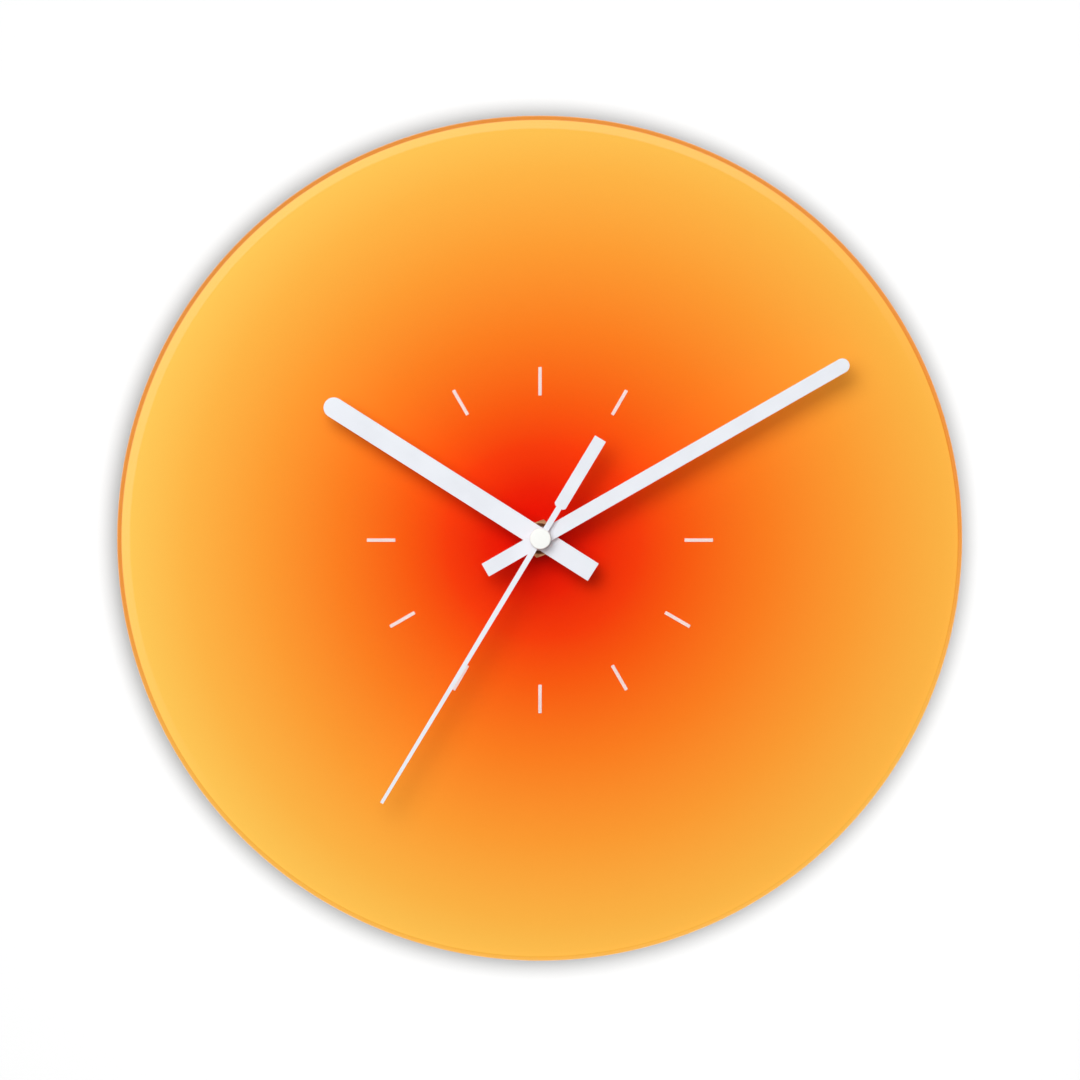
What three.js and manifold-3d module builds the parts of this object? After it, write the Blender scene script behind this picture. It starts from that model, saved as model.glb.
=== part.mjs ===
// Round glass wall clock with a battery movement.
// Millimetres, X to the right and Z up as seen from the front. The wall is the plane Y = 0, the hand
// axis is the line X = 0, Z = 0, and a distance in this file is measured from the wall towards -Y.

import * as THREE from 'three';
import { mergeVertices } from 'three/addons/utils/BufferGeometryUtils.js';
import Module from 'manifold-3d';

const wasm = await Module();
wasm.setup();

// Glass and print
const dialDiameter = 300;
const glassThickness = 4;
const edgeRound = 1.7;
const bevelWidth = 3.2;
const bevelDrop = 0.3;
const glassHoleClearance = 0.35;
const printThickness = 0.25;
const printGap = 0.3;

// Hour marks
const markCount = 12;
const markLength = 10.1;
const markWidth = 1.2;
const markThickness = 0.1;
const markRadius = 56.4;
const markDrop = 0.6;

// Hands, with the times that they show as degrees clockwise from twelve
const handThickness = 0.5;
const hourLength = 90.0;
const hourTail = 22.2;
const hourWidth = 7.24;
const hourAngle = 302.4;
const minuteLength = 125.5;
const minuteTail = 22.4;
const minuteWidth = 5.15;
const minuteAngle = 60.2;
const secondLength = 108.8;
const secondRootWidth = 2.0;
const secondTipWidth = 1.15;
const secondAngle = 211.0;
const tailNeckLength = 12.8;
const tailNeckWidth = 2.1;
const counterweightEnd = 41.2;
const counterweightWidth = 4.45;
const counterweightChamfer = 0.7;
const capRadius = 3.7;
const capHeight = 1.4;
const capEdge = 0.3;
const capTubeRadius = 1.3;
const colletRadius = 4.3;
const colletHeight = 1.2;
const handGap = 1.5;

// Fixing of the movement to the glass
const bushRadius = 4.0;
const bushBoreGap = 0.3;
const bushShoulderRadius = 5.2;
const bushStandOut = 0.9;
const nutAcrossFlats = 12;
const nutHeight = 2.4;
const nutAngle = 10;
const nutChamfer = 0.3;
const nutChamferAngle = 30;
const nutMouth = 1.3;
const threadGap = 0.1;
const washerRadius = 5.9;
const washerThickness = 0.5;
const rubberRadius = 11;
const rubberThickness = 1.0;

// Movement case
const caseWall = 1.2;
const caseCorner = 4;
const coverThickness = 1.2;
const seamGap = 0.1;
const dividerThickness = 1.0;
const hangerThickness = 2.4;
const hangerHalfWidth = 12;
const hangerEyeHeight = 8;
const hangerEyeRadius = 2.6;
const hangerEyeFoot = 5;
const hangerRim = 4;
const hangerFootRise = 2;
const lipDepth = 1.0;
const lipWidth = 1.0;

// Wheels
const trainModule = 0.25;
const motionModule = 0.35;
const trainWheelThickness = 0.6;
const motionWheelThickness = 0.8;
const pinionOverhang = 0.2;
const axialGap = 0.4;
const arborRadius = 0.6;
const pivotRadius = 0.3;
const pivotGap = 0.12;
const pivotShare = 0.75;
const runningGap = 0.2;
const arborShoulder = 0.3;
const secondArborRadius = 0.5;
const minutePipeWall = 1.0;
const hourPipeWall = 0.55;
const plateThickness = 0.8;
const teeth = {
  rotorPinion: 8,
  intermediateWheel: 48,
  intermediatePinion: 10,
  secondWheel: 50,
  secondPinion: 8,
  thirdWheel: 64,
  thirdPinion: 8,
  centreWheel: 60,
  cannonPinion: 12,
  minuteWheel: 36,
  minutePinion: 10,
  hourWheel: 40,
  settingPinion: 12,
};

// Tooth form, in modules: heights over and under the pitch circle, and half widths at root and tip
const pinionTooth = { over: 0.85, under: 1.1, rootHalf: 0.85, tipHalf: 0.25 };
const wheelTooth = { over: 0.75, under: 1.15, rootHalf: 0.95, tipHalf: 0.3 };

// Where the axes lie round each other, as degrees anticlockwise from +X
const thirdDirection = 35;
const intermediateDirection = 160;
const rotorDirection = 110;
const minuteDirection = 180;
const settingDirection = 187;

// Where the posts stand beside their wheels, as degrees anticlockwise from +X
const postDirections = { thirdTop: 128, thirdBottom: -62, centreBottom: -88, minuteBottom: -126 };
const rotorPostShift = 6;
const coilShift = 3.6;
const plateCornerDirection = 35;
const plateCornerShare = 1.35;

// Setting knob
const knobRadius = 5;
const knobThickness = 2.6;
const knobRidges = 18;
const knobRidgeHeight = 0.4;
const knobRidgeRoot = 0.3;
const knobRidgeTip = 0.15;
const knobRecess = 0.4;
const knobGap = 0.5;
const wellWall = 0.8;
const stemRadius = 1.0;
const stemEndRadius = 0.7;

// Motor
const magnetRadius = 2.2;
const magnetLength = 2.2;
const statorGap = 0.5;
const statorThickness = 0.8;
const statorBarHeight = 6;
const statorCollar = 1.3;
const statorLegWidth = 3.2;
const statorNotch = 0.35;
const coilOverRotor = 10.35;
const coilLength = 15.6;
const coilRadius = 3.9;
const flangeRadius = 4.2;
const flangeThickness = 0.8;
const coreWidth = 3;
const bobbinTubeRadius = 2.4;
const motorGap = 0.3;

// Battery and contacts
const batteryRadius = 7;
const batteryLength = 49.5;
const nubRadius = 2.75;
const nubLength = 1.0;
const sleeveThickness = 0.2;
const sleeveEnd = 0.4;
const batteryGap = 0.2;
const contactThickness = 0.3;
const contactWidth = 9;
const springReach = 1.7;
const springSpan = 7.2;
const cupHeight = 0.4;
const stripWidth = 3;
const tabReach = 2;

// Circuit board
const boardThickness = 0.8;
const boardHeight = 5.5;
const boardRearRoom = 1.2;
const crystalRadius = 1.0;
const crystalLength = 6;
const chipWidth = 2.2;
const chipHeight = 1.1;
const chipRim = 0.66;
const chipTopShare = 2 / 3;

// Posts of the case, with their necks and pins
const postRadius = 1.3;
const postNeckRadius = 0.91;
const pinRadius = 0.6;
const pinGap = 0.15;
const pinOverrun = 0.3;

// How far a cutter reaches past what it cuts, and the flats that stand for each kind of round
const past = 1;
const flats = {
  dial: 80,
  bow: 48,
  well: 40,
  nut: 36,
  washer: 32,
  cell: 28,
  magnet: 24,
  cup: 20,
  stem: 16,
  pivot: 12,
  post: 10,
  pin: 8,
};

const radians = THREE.MathUtils.degToRad;

// Levels inside the case, measured back from the inside of its front wall
const level = {};
level.hourWheel = axialGap;
level.cannon = level.hourWheel + motionWheelThickness + axialGap;
level.minuteWheel = level.cannon + pinionOverhang;
level.cannonEnd = level.minuteWheel + motionWheelThickness + pinionOverhang;
level.clutch = level.cannonEnd + seamGap / 2;
level.clutchEnd = level.clutch + trainWheelThickness / 2;
level.centreWheel = level.clutchEnd + seamGap / 2;
level.centreWheelEnd = level.centreWheel + trainWheelThickness;
level.middlePlate = level.centreWheelEnd + axialGap;
level.middlePlateEnd = level.middlePlate + plateThickness;
level.thirdWheel = level.middlePlateEnd + axialGap + pinionOverhang;
level.thirdWheelEnd = level.thirdWheel + trainWheelThickness;
level.stator = level.middlePlateEnd + statorThickness + pinionOverhang;
level.statorEnd = level.stator + statorThickness;
level.secondWheel = Math.max(level.thirdWheelEnd, level.statorEnd) + axialGap;
level.secondWheelEnd = level.secondWheel + trainWheelThickness;
level.intermediateWheel = level.secondWheelEnd + magnetLength / 2 + pinionOverhang;
level.intermediateWheelEnd = level.intermediateWheel + trainWheelThickness;
level.trainPlate = level.intermediateWheelEnd + pinionOverhang + axialGap;
level.trainPlateEnd = level.trainPlate + plateThickness;
level.board = level.trainPlateEnd + axialGap;
level.boardEnd = level.board + boardThickness;

// The case is deep enough for its wheels and for its battery
const trainDepth = coverThickness + boardRearRoom + level.boardEnd + caseWall;
const batteryRecess = 0.6;
const batteryDepth = batteryRecess + 2 * batteryRadius + batteryGap + caseWall;
const caseDepth = Math.max(trainDepth, batteryDepth);
const frontInner = caseDepth - caseWall;

// Distances from the wall in front of the case
const rubberFront = caseDepth + rubberThickness;
const printFront = rubberFront + printThickness;
const glassBack = printFront + printGap;
const glassFront = glassBack + glassThickness;
const washerFront = glassFront + washerThickness;
const nutFront = washerFront + nutHeight;
const bushFront = nutFront + bushStandOut;
const colletBack = bushFront + axialGap;
const hourHandBack = colletBack + colletHeight;
const hourPipeFront = hourHandBack + handThickness + axialGap;
const minuteHandBack = hourHandBack + handThickness + handGap;
const minutePipeFront = minuteHandBack + handThickness + axialGap;
const secondHandBack = minuteHandBack + handThickness + handGap;
const capBack = secondHandBack + handThickness;
const capFront = capBack + capHeight;
const secondArborFront = capBack + capHeight / 2;

// Radii of the nested pipes
const minuteBore = secondArborRadius + runningGap;
const minutePipeRadius = minuteBore + minutePipeWall;
const hourBore = minutePipeRadius + runningGap;
const hourPipeRadius = hourBore + hourPipeWall;
const bushBore = hourPipeRadius + bushBoreGap;

// Axes of the wheels, as points of the XZ plane
const polar = (from, distance, degrees) => new THREE.Vector2(
  from.x + distance * Math.cos(radians(degrees)),
  from.y + distance * Math.sin(radians(degrees)),
);
const axisDistance = (module, a, b) => module * (a + b) / 2;
const centreAxis = new THREE.Vector2(0, 0);
const thirdDistance = axisDistance(trainModule, teeth.secondPinion, teeth.thirdWheel);
const centreModule = 2 * thirdDistance / (teeth.thirdPinion + teeth.centreWheel);
const thirdAxis = polar(centreAxis, thirdDistance, thirdDirection);
const intermediateDistance = axisDistance(trainModule, teeth.intermediatePinion, teeth.secondWheel);
const intermediateAxis = polar(centreAxis, intermediateDistance, intermediateDirection);
const rotorDistance = axisDistance(trainModule, teeth.rotorPinion, teeth.intermediateWheel);
const rotorAxis = polar(intermediateAxis, rotorDistance, rotorDirection);
const minuteDistance = axisDistance(motionModule, teeth.cannonPinion, teeth.minuteWheel);
const minuteAxis = polar(centreAxis, minuteDistance, minuteDirection);
const hourModule = 2 * minuteDistance / (teeth.minutePinion + teeth.hourWheel);
const settingDistance = axisDistance(motionModule, teeth.settingPinion, teeth.minuteWheel);
const settingAxis = polar(minuteAxis, settingDistance, settingDirection);

// Insides of the case, which is as wide as its battery and contacts need
const contactRoom = 2 * (contactThickness + 2 * seamGap) + cupHeight + springReach;
const inside = (batteryLength + nubLength + contactRoom) / 2;
const caseWidth = 2 * (inside + caseWall);
const contactFace = inside - seamGap - contactThickness;
const batteryPlus = contactFace - cupHeight - seamGap;
const batteryMinus = batteryPlus - nubLength - batteryLength;
const bayTop = -inside + 2 * (batteryRadius + batteryGap);
const dividerTop = bayTop + dividerThickness;
const batteryHeight = (bayTop - inside) / 2;
const batteryAxisDistance = batteryRecess + batteryRadius;
const coilHeight = rotorAxis.y + coilOverRotor;
const wellRadius = knobRadius + knobGap;
const knobFront = knobRecess + knobThickness;
const wellFloor = knobFront + runningGap;
const pivotDepth = plateThickness * pivotShare;
const pivotHole = pivotRadius + pivotGap;
const minuteRearRadius = minuteBore + runningGap + arborShoulder;
const thirdPinionFront = level.centreWheel - pinionOverhang;
const stripFront = frontInner - level.board + stripWidth;

const paint = (color, roughness, metalness = 0) => new THREE.MeshStandardMaterial({
  color,
  roughness,
  metalness,
  flatShading: true,
});
const clearGlass = new THREE.MeshStandardMaterial({
  color: 0xe4f2ee,
  roughness: 0.05,
  metalness: 0,
  transparent: true,
  opacity: 0.25,
});
const printInk = paint(0xfc8a2a, 0.6);
const markInk = paint(0xe8d7da, 0.6);
const handPaint = paint(0xecf0f5, 0.4);
const capPaint = paint(0xfdfdfa, 0.35);
const zinc = paint(0xbcb6b2, 0.4, 0.8);
const brass = paint(0xb98a5a, 0.35, 0.9);
const rubber = paint(0x1d1d1f, 0.9);
const blackPlastic = paint(0x17171a, 0.55);
const greyPlastic = paint(0x8d9094, 0.6);
const whitePlastic = paint(0xe9e9e4, 0.5);
const steel = paint(0xb9bcc0, 0.35, 0.9);
const magnetBlack = paint(0x303236, 0.6, 0.4);
const copper = paint(0xb4623a, 0.4, 0.7);
const boardGreen = paint(0x2f6b45, 0.6);
const sleevePaint = paint(0x3f6f8c, 0.45);

const clock = new THREE.Group();

// Turns a closed geometry into a solid that can be cut and joined.
function solidOf(geometry) {
  const bare = geometry.index ? geometry.toNonIndexed() : geometry.clone();
  bare.deleteAttribute('normal');
  bare.deleteAttribute('uv');
  const welded = mergeVertices(bare, 1e-5);
  const corners = welded.index.array;
  const spots = welded.attributes.position.array;
  const kept = [];
  for (let i = 0; i < corners.length; i += 3) {
    const [a, b, c] = [corners[i], corners[i + 1], corners[i + 2]];
    if (a !== b && b !== c && c !== a) kept.push(a, b, c);
  }
  const triVerts = Uint32Array.from(kept);
  return new wasm.Manifold(new wasm.Mesh({ numProp: 3, vertProperties: spots, triVerts }));
}

// Adds a named piece to the clock. x and z place its axis, turn is clockwise seen from the front.
function piece(name, solid, material, axis = centreAxis, turn = 0) {
  const { vertProperties, triVerts } = solid.getMesh();
  const geometry = new THREE.BufferGeometry();
  geometry.setAttribute('position', new THREE.BufferAttribute(vertProperties, 3));
  geometry.setIndex(new THREE.BufferAttribute(triVerts, 1));
  geometry.computeVertexNormals();
  const mesh = new THREE.Mesh(geometry, material);
  mesh.name = name;
  mesh.position.set(axis.x, 0, axis.y);
  mesh.rotation.y = radians(turn);
  clock.add(mesh);
}

// Points of a circle or of a part of one, from one angle to another in degrees.
function arcPoints(radius, count, x = 0, z = 0, from = 0, sweep = 360) {
  const last = sweep === 360 ? count : count - 1;
  return Array.from({ length: count }, (_, i) => {
    const angle = radians(from + sweep * i / last);
    return new THREE.Vector2(x + radius * Math.cos(angle), z + radius * Math.sin(angle));
  });
}

// A flat piece parallel to the wall: an outline of the XZ plane between two distances.
function slab(outline, from, to, holes = []) {
  const shape = new THREE.Shape(outline);
  for (const hole of holes) shape.holes.push(new THREE.Path(hole));
  const geometry = new THREE.ExtrudeGeometry(shape, { depth: to - from, bevelEnabled: false });
  geometry.rotateX(Math.PI / 2);
  geometry.translate(0, -from, 0);
  return solidOf(geometry);
}

// A turned piece: a closed profile of radius and distance, round the line parallel to Y.
function turned(profile, segments) {
  const area = profile.reduce((sum, [r, d], i) => {
    const [nextR, nextD] = profile[(i + 1) % profile.length];
    return sum + r * nextD - nextR * d;
  }, 0);
  const ordered = area > 0 ? [...profile].reverse() : [...profile];
  ordered.push(ordered[0]);
  return solidOf(new THREE.LatheGeometry(ordered.map(([r, d]) => new THREE.Vector2(r, -d)), segments));
}

// A plain round bar or a hole's cutter between two distances.
function bar(radius, from, to, segments, axis = centreAxis) {
  return turned([[0, from], [radius, from], [radius, to], [0, to]], segments).translate([axis.x, 0, axis.y]);
}

// A tube between two distances.
function tube(inner, outer, from, to, segments) {
  return turned([[inner, from], [outer, from], [outer, to], [inner, to]], segments);
}

// A block between two corners, given as x, distance and z.
function block([x0, d0, z0], [x1, d1, z1]) {
  const geometry = new THREE.BoxGeometry(x1 - x0, d1 - d0, z1 - z0);
  geometry.translate((x0 + x1) / 2, -(d0 + d1) / 2, (z0 + z1) / 2);
  return solidOf(geometry);
}

// A turned piece whose axis lies along X, with its profile as radius and x.
function turnedAlongX(profile, segments, distance, z) {
  return turned(profile.map(([r, x]) => [r, -x]), segments).rotate([0, 0, -90]).translate([0, -distance, z]);
}

const roundedSquare = (half, corner) => [
  ...arcPoints(corner, 5, half - corner, half - corner, 0, 90),
  ...arcPoints(corner, 5, corner - half, half - corner, 90, 90),
  ...arcPoints(corner, 5, corner - half, corner - half, 180, 90),
  ...arcPoints(corner, 5, half - corner, corner - half, 270, 90),
];

// Outline of a gear whose first tooth points at phase, in degrees anticlockwise from +X.
function gearOutline(count, module, tooth, phase) {
  const pitch = count * module / 2;
  const root = pitch - tooth.under * module;
  const tip = pitch + tooth.over * module;
  const rootHalf = tooth.rootHalf * module / root;
  const tipHalf = tooth.tipHalf * module / tip;
  const points = [];
  for (let i = 0; i < count; i += 1) {
    const middle = radians(phase) + 2 * Math.PI * i / count;
    for (const [radius, angle] of [
      [root, middle - rootHalf],
      [tip, middle - tipHalf],
      [tip, middle + tipHalf],
      [root, middle + rootHalf],
    ]) points.push(new THREE.Vector2(radius * Math.cos(angle), radius * Math.sin(angle)));
  }
  return points;
}

// Phase that puts a gear in mesh with a driver lying in the given direction behind it.
function meshPhase(driverCount, driverPhase, direction, drivenCount) {
  const pitch = 360 / driverCount;
  const off = driverPhase - direction;
  const nearest = off - pitch * Math.round(off / pitch);
  return direction + 180 - nearest * driverCount / drivenCount + 180 / drivenCount;
}

// Distance from the wall of a level inside the case.
const at = (depth) => frontInner - depth;

// A wheel or pinion between two levels.
function gear(count, module, tooth, phase, from, to) {
  return slab(gearOutline(count, module, tooth, phase), at(to), at(from));
}

// An arbor with thin pivots at both ends, between two levels.
function arbor(from, to, frontPivot, rearPivot) {
  return turned([
    [0, at(to + rearPivot)],
    [pivotRadius, at(to + rearPivot)],
    [pivotRadius, at(to)],
    [arborRadius, at(to)],
    [arborRadius, at(from)],
    [pivotRadius, at(from)],
    [pivotRadius, at(from - frontPivot)],
    [0, at(from - frontPivot)],
  ], flats.pivot);
}

const tipRadius = (count, module, tooth) => module * (count / 2 + tooth.over);

// Glass: flat back, rounded edge, shallow bevel on the front, hole for the movement's bush.
function makeGlass() {
  const radius = dialDiameter / 2;
  const shoulder = radius - edgeRound;
  const frontArcTop = glassFront - bevelDrop;
  const round = (Math.min(glassThickness - bevelDrop, 2 * edgeRound)) / 2;
  const steps = 3;
  const profile = [[bushRadius + glassHoleClearance, glassBack]];
  for (let i = 0; i <= steps; i += 1) {
    const angle = Math.PI / 2 * i / steps;
    profile.push([shoulder + edgeRound * Math.sin(angle), glassBack + round * (1 - Math.cos(angle))]);
  }
  for (let i = 0; i <= steps; i += 1) {
    const angle = Math.PI / 2 * i / steps;
    profile.push([shoulder + edgeRound * Math.cos(angle), frontArcTop - round * (1 - Math.sin(angle))]);
  }
  profile.push([shoulder - bevelWidth, glassFront]);
  profile.push([bushRadius + glassHoleClearance, glassFront]);
  const distinct = profile.filter(([r, d], i) => {
    const [lastR, lastD] = profile[(i + profile.length - 1) % profile.length];
    return Math.hypot(r - lastR, d - lastD) > 0.01;
  });
  piece('glass_pane', turned(distinct, flats.dial), clearGlass);
}

function makePrint() {
  const radius = dialDiameter / 2 - edgeRound;
  const hole = bushShoulderRadius + glassHoleClearance;
  piece('print_layer', tube(hole, radius, rubberFront, printFront, flats.dial), printInk);
}

// Hour marks: short bars in a ring whose centre sits a little below the hand axis.
function makeMarks() {
  const back = printFront + (printGap - markThickness) / 2;
  const mark = block(
    [-markWidth / 2, back, markRadius - markLength / 2],
    [markWidth / 2, back + markThickness, markRadius + markLength / 2],
  );
  const ringAxis = new THREE.Vector2(0, -markDrop);
  for (let i = 1; i <= markCount; i += 1) {
    const name = `hour_mark_${String(i).padStart(2, '0')}`;
    piece(name, mark, markInk, ringAxis, 360 * i / markCount);
  }
}

function makeFixing() {
  const corner = nutAcrossFlats / 2 / Math.cos(Math.PI / 6);
  const hexagon = slab(arcPoints(corner, 6, 0, 0, 90), washerFront, nutFront);
  const face = nutAcrossFlats / 2 - nutChamfer;
  const chamferDrop = (corner + past - face) * Math.tan(radians(nutChamferAngle));
  const chamfered = turned([
    [0, washerFront - past],
    [corner + past, washerFront - past],
    [corner + past, nutFront - chamferDrop],
    [face, nutFront],
    [0, nutFront],
  ], flats.nut);
  const washerBore = bushRadius + threadGap;
  const nutBore = turned([
    [0, washerFront - past],
    [washerBore, washerFront - past],
    [washerBore, nutFront - nutMouth],
    [washerBore + nutMouth + past, nutFront + past],
    [0, nutFront + past],
  ], flats.magnet);
  piece('fixing_nut', hexagon.intersect(chamfered).subtract(nutBore), brass, centreAxis, nutAngle);
  const nutWasher = tube(washerBore, washerRadius, glassFront, washerFront, flats.washer);
  piece('nut_washer', nutWasher, brass);
  const rubberBore = bushShoulderRadius + glassHoleClearance;
  piece('rubber_washer', tube(rubberBore, rubberRadius, caseDepth, rubberFront, flats.washer), rubber);
  const bush = turned([
    [bushBore, frontInner],
    [bushRadius, frontInner],
    [bushRadius, caseDepth],
    [bushShoulderRadius, caseDepth],
    [bushShoulderRadius, rubberFront],
    [bushRadius, rubberFront],
    [bushRadius, bushFront - threadGap * 3],
    [bushRadius - threadGap * 3, bushFront],
    [bushBore, bushFront],
  ], flats.magnet);
  piece('threaded_bush', bush, zinc);
}

// Straight hand with a half-round tip and a square tail, pointing at twelve before it is turned.
function handOutline(length, tail, width) {
  return [
    new THREE.Vector2(width / 2, -tail),
    ...arcPoints(width / 2, 9, 0, length - width / 2, 0, 180),
    new THREE.Vector2(-width / 2, -tail),
  ];
}

function makeHourHand() {
  const hole = arcPoints(hourPipeRadius + threadGap, flats.magnet);
  const outline = handOutline(hourLength, hourTail, hourWidth);
  const hand = slab(outline, hourHandBack, hourHandBack + handThickness, [hole]);
  piece('hour_hand', hand, handPaint, centreAxis, hourAngle);
  const collet = tube(hourPipeRadius + threadGap, colletRadius, colletBack, hourHandBack, flats.magnet);
  piece('hour_collet', collet, zinc);
}

function makeMinuteHand() {
  const hole = arcPoints(minutePipeRadius + threadGap, flats.cup);
  const outline = handOutline(minuteLength, minuteTail, minuteWidth);
  const hand = slab(outline, minuteHandBack, minuteHandBack + handThickness, [hole]);
  piece('minute_hand', hand, handPaint, centreAxis, minuteAngle);
}

function makeSecondHand() {
  const neck = tailNeckWidth / 2;
  const weight = counterweightWidth / 2;
  const weightTop = -tailNeckLength - counterweightChamfer;
  const right = [
    [secondRootWidth / 2, 0],
    [secondTipWidth / 2, secondLength],
  ];
  const left = [
    [-secondTipWidth / 2, secondLength],
    [-secondRootWidth / 2, 0],
    [-neck, -capRadius / 2],
    [-neck, -tailNeckLength],
    [-weight + counterweightChamfer, -tailNeckLength],
    [-weight, weightTop],
    [-weight, -counterweightEnd],
  ];
  const mirrored = left.slice(2).reverse().map(([x, z]) => [-x, z]);
  const outline = [...mirrored, ...right, ...left].map(([x, z]) => new THREE.Vector2(x, z));
  const boss = bar(capTubeRadius + neck, secondHandBack, capBack, flats.cup);
  const blade = slab(outline, secondHandBack, capBack).add(boss);
  const hole = bar(capTubeRadius + threadGap, secondHandBack - past, capBack + past, flats.cup);
  piece('second_hand', blade.subtract(hole), handPaint, centreAxis, secondAngle);
  const bore = secondArborRadius + pivotGap;
  const cap = turned([
    [bore, secondHandBack - handGap / 3],
    [capTubeRadius, secondHandBack - handGap / 3],
    [capTubeRadius, capBack],
    [capRadius, capBack],
    [capRadius, capFront - capEdge],
    [capRadius - capEdge, capFront],
    [0, capFront],
    [0, secondArborFront + pivotGap],
    [bore, secondArborFront + pivotGap],
  ], flats.cell);
  piece('second_cap', cap, capPaint);
}

// Posts of the front case, each clear of the wheel that it stands beside.
const thirdTip = tipRadius(teeth.thirdWheel, trainModule, wheelTooth);
const centreTip = tipRadius(teeth.centreWheel, centreModule, wheelTooth);
const minuteTip = tipRadius(teeth.minuteWheel, motionModule, wheelTooth);
const platePosts = [
  polar(thirdAxis, thirdTip + postRadius + axialGap, postDirections.thirdTop),
  polar(thirdAxis, thirdTip + postRadius + 3 * axialGap, postDirections.thirdBottom),
  polar(centreAxis, centreTip + postRadius + axialGap, postDirections.centreBottom),
  new THREE.Vector2(rotorAxis.x - rotorPostShift, coilHeight - flangeRadius - postRadius - axialGap),
];
const shortPost = polar(minuteAxis, minuteTip + postRadius + axialGap, postDirections.minuteBottom);
const coilMiddle = rotorAxis.x - coilShift;
const legCentres = [-1, 1].map((side) => new THREE.Vector2(
  coilMiddle + side * (coilLength / 2 + motorGap + statorLegWidth / 2),
  coilHeight,
));
const boardTop = inside - 2 * lipWidth;
const boardBottom = boardTop - boardHeight;
const boardHalf = inside - 4 * contactThickness;
const boardPosts = [
  new THREE.Vector2(legCentres[0].x, coilHeight + statorLegWidth / 2 + postRadius + axialGap),
  new THREE.Vector2(coilMiddle + coilLength / 2 + 3 * postRadius + statorLegWidth, boardTop - 2 * postRadius),
  new THREE.Vector2(boardHalf - postRadius - 2 * stripWidth, boardTop - 2 * postRadius),
];

function makeFrontCase() {
  let shell = slab(roundedSquare(caseWidth / 2, caseCorner), coverThickness + seamGap, caseDepth);
  const rear = coverThickness;
  shell = shell.subtract(block([-inside, rear, dividerTop], [inside, frontInner, inside]));
  shell = shell.subtract(block([-inside, rear, -inside], [inside, frontInner, bayTop]));
  const grow = (shape) => {
    shell = shell.add(shape);
  };
  const cut = (shape) => {
    shell = shell.subtract(shape);
  };
  for (const post of platePosts) {
    grow(bar(postRadius, at(level.middlePlate), frontInner + seamGap, flats.post, post));
    grow(bar(postNeckRadius, at(level.trainPlate), frontInner, flats.post, post));
    grow(bar(pinRadius, at(level.trainPlateEnd + pinOverrun), frontInner, flats.pin, post));
  }
  grow(bar(postRadius, at(level.middlePlate), frontInner + seamGap, flats.post, shortPost));
  grow(bar(pinRadius, at(level.middlePlateEnd + pinOverrun), frontInner, flats.pivot, shortPost));
  for (const post of legCentres) {
    grow(bar(postRadius, at(level.stator - statorThickness), frontInner + seamGap, flats.post, post));
    grow(bar(pinRadius, at(level.statorEnd + pinOverrun), frontInner, flats.pin, post));
  }
  for (const post of boardPosts) {
    grow(bar(postRadius, at(level.board), frontInner + seamGap, flats.post, post));
    grow(bar(pinRadius, at(level.boardEnd + pinOverrun), frontInner, flats.pin, post));
  }
  grow(bar(postRadius, at(thirdPinionFront - axialGap), frontInner + seamGap, flats.post, thirdAxis));
  const pivotEnd = thirdPinionFront - axialGap - 2 * pivotDepth;
  cut(bar(pivotHole, at(thirdPinionFront), at(pivotEnd), flats.pivot, thirdAxis));
  grow(bar(pinRadius, at(level.cannonEnd), frontInner + seamGap, flats.pivot, minuteAxis));
  const socket = stemEndRadius + pivotGap;
  grow(bar(socket + wellWall, at(level.cannon - axialGap), frontInner + seamGap, flats.post, settingAxis));
  cut(bar(socket, at(level.cannon), frontInner - pivotGap, flats.pivot, settingAxis));
  cut(bar(bushRadius + threadGap, 0, caseDepth + past, flats.washer));
  const notch = 2 * contactThickness + 2 * seamGap;
  for (const side of [-1, 1]) {
    const [low, high] = [side * inside, side * (inside - notch)].sort((a, b) => a - b);
    cut(block([low, 0, bayTop - past], [high, stripFront + pinGap, dividerTop + past]));
  }
  piece('front_case', shell, blackPlastic);
}

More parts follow.
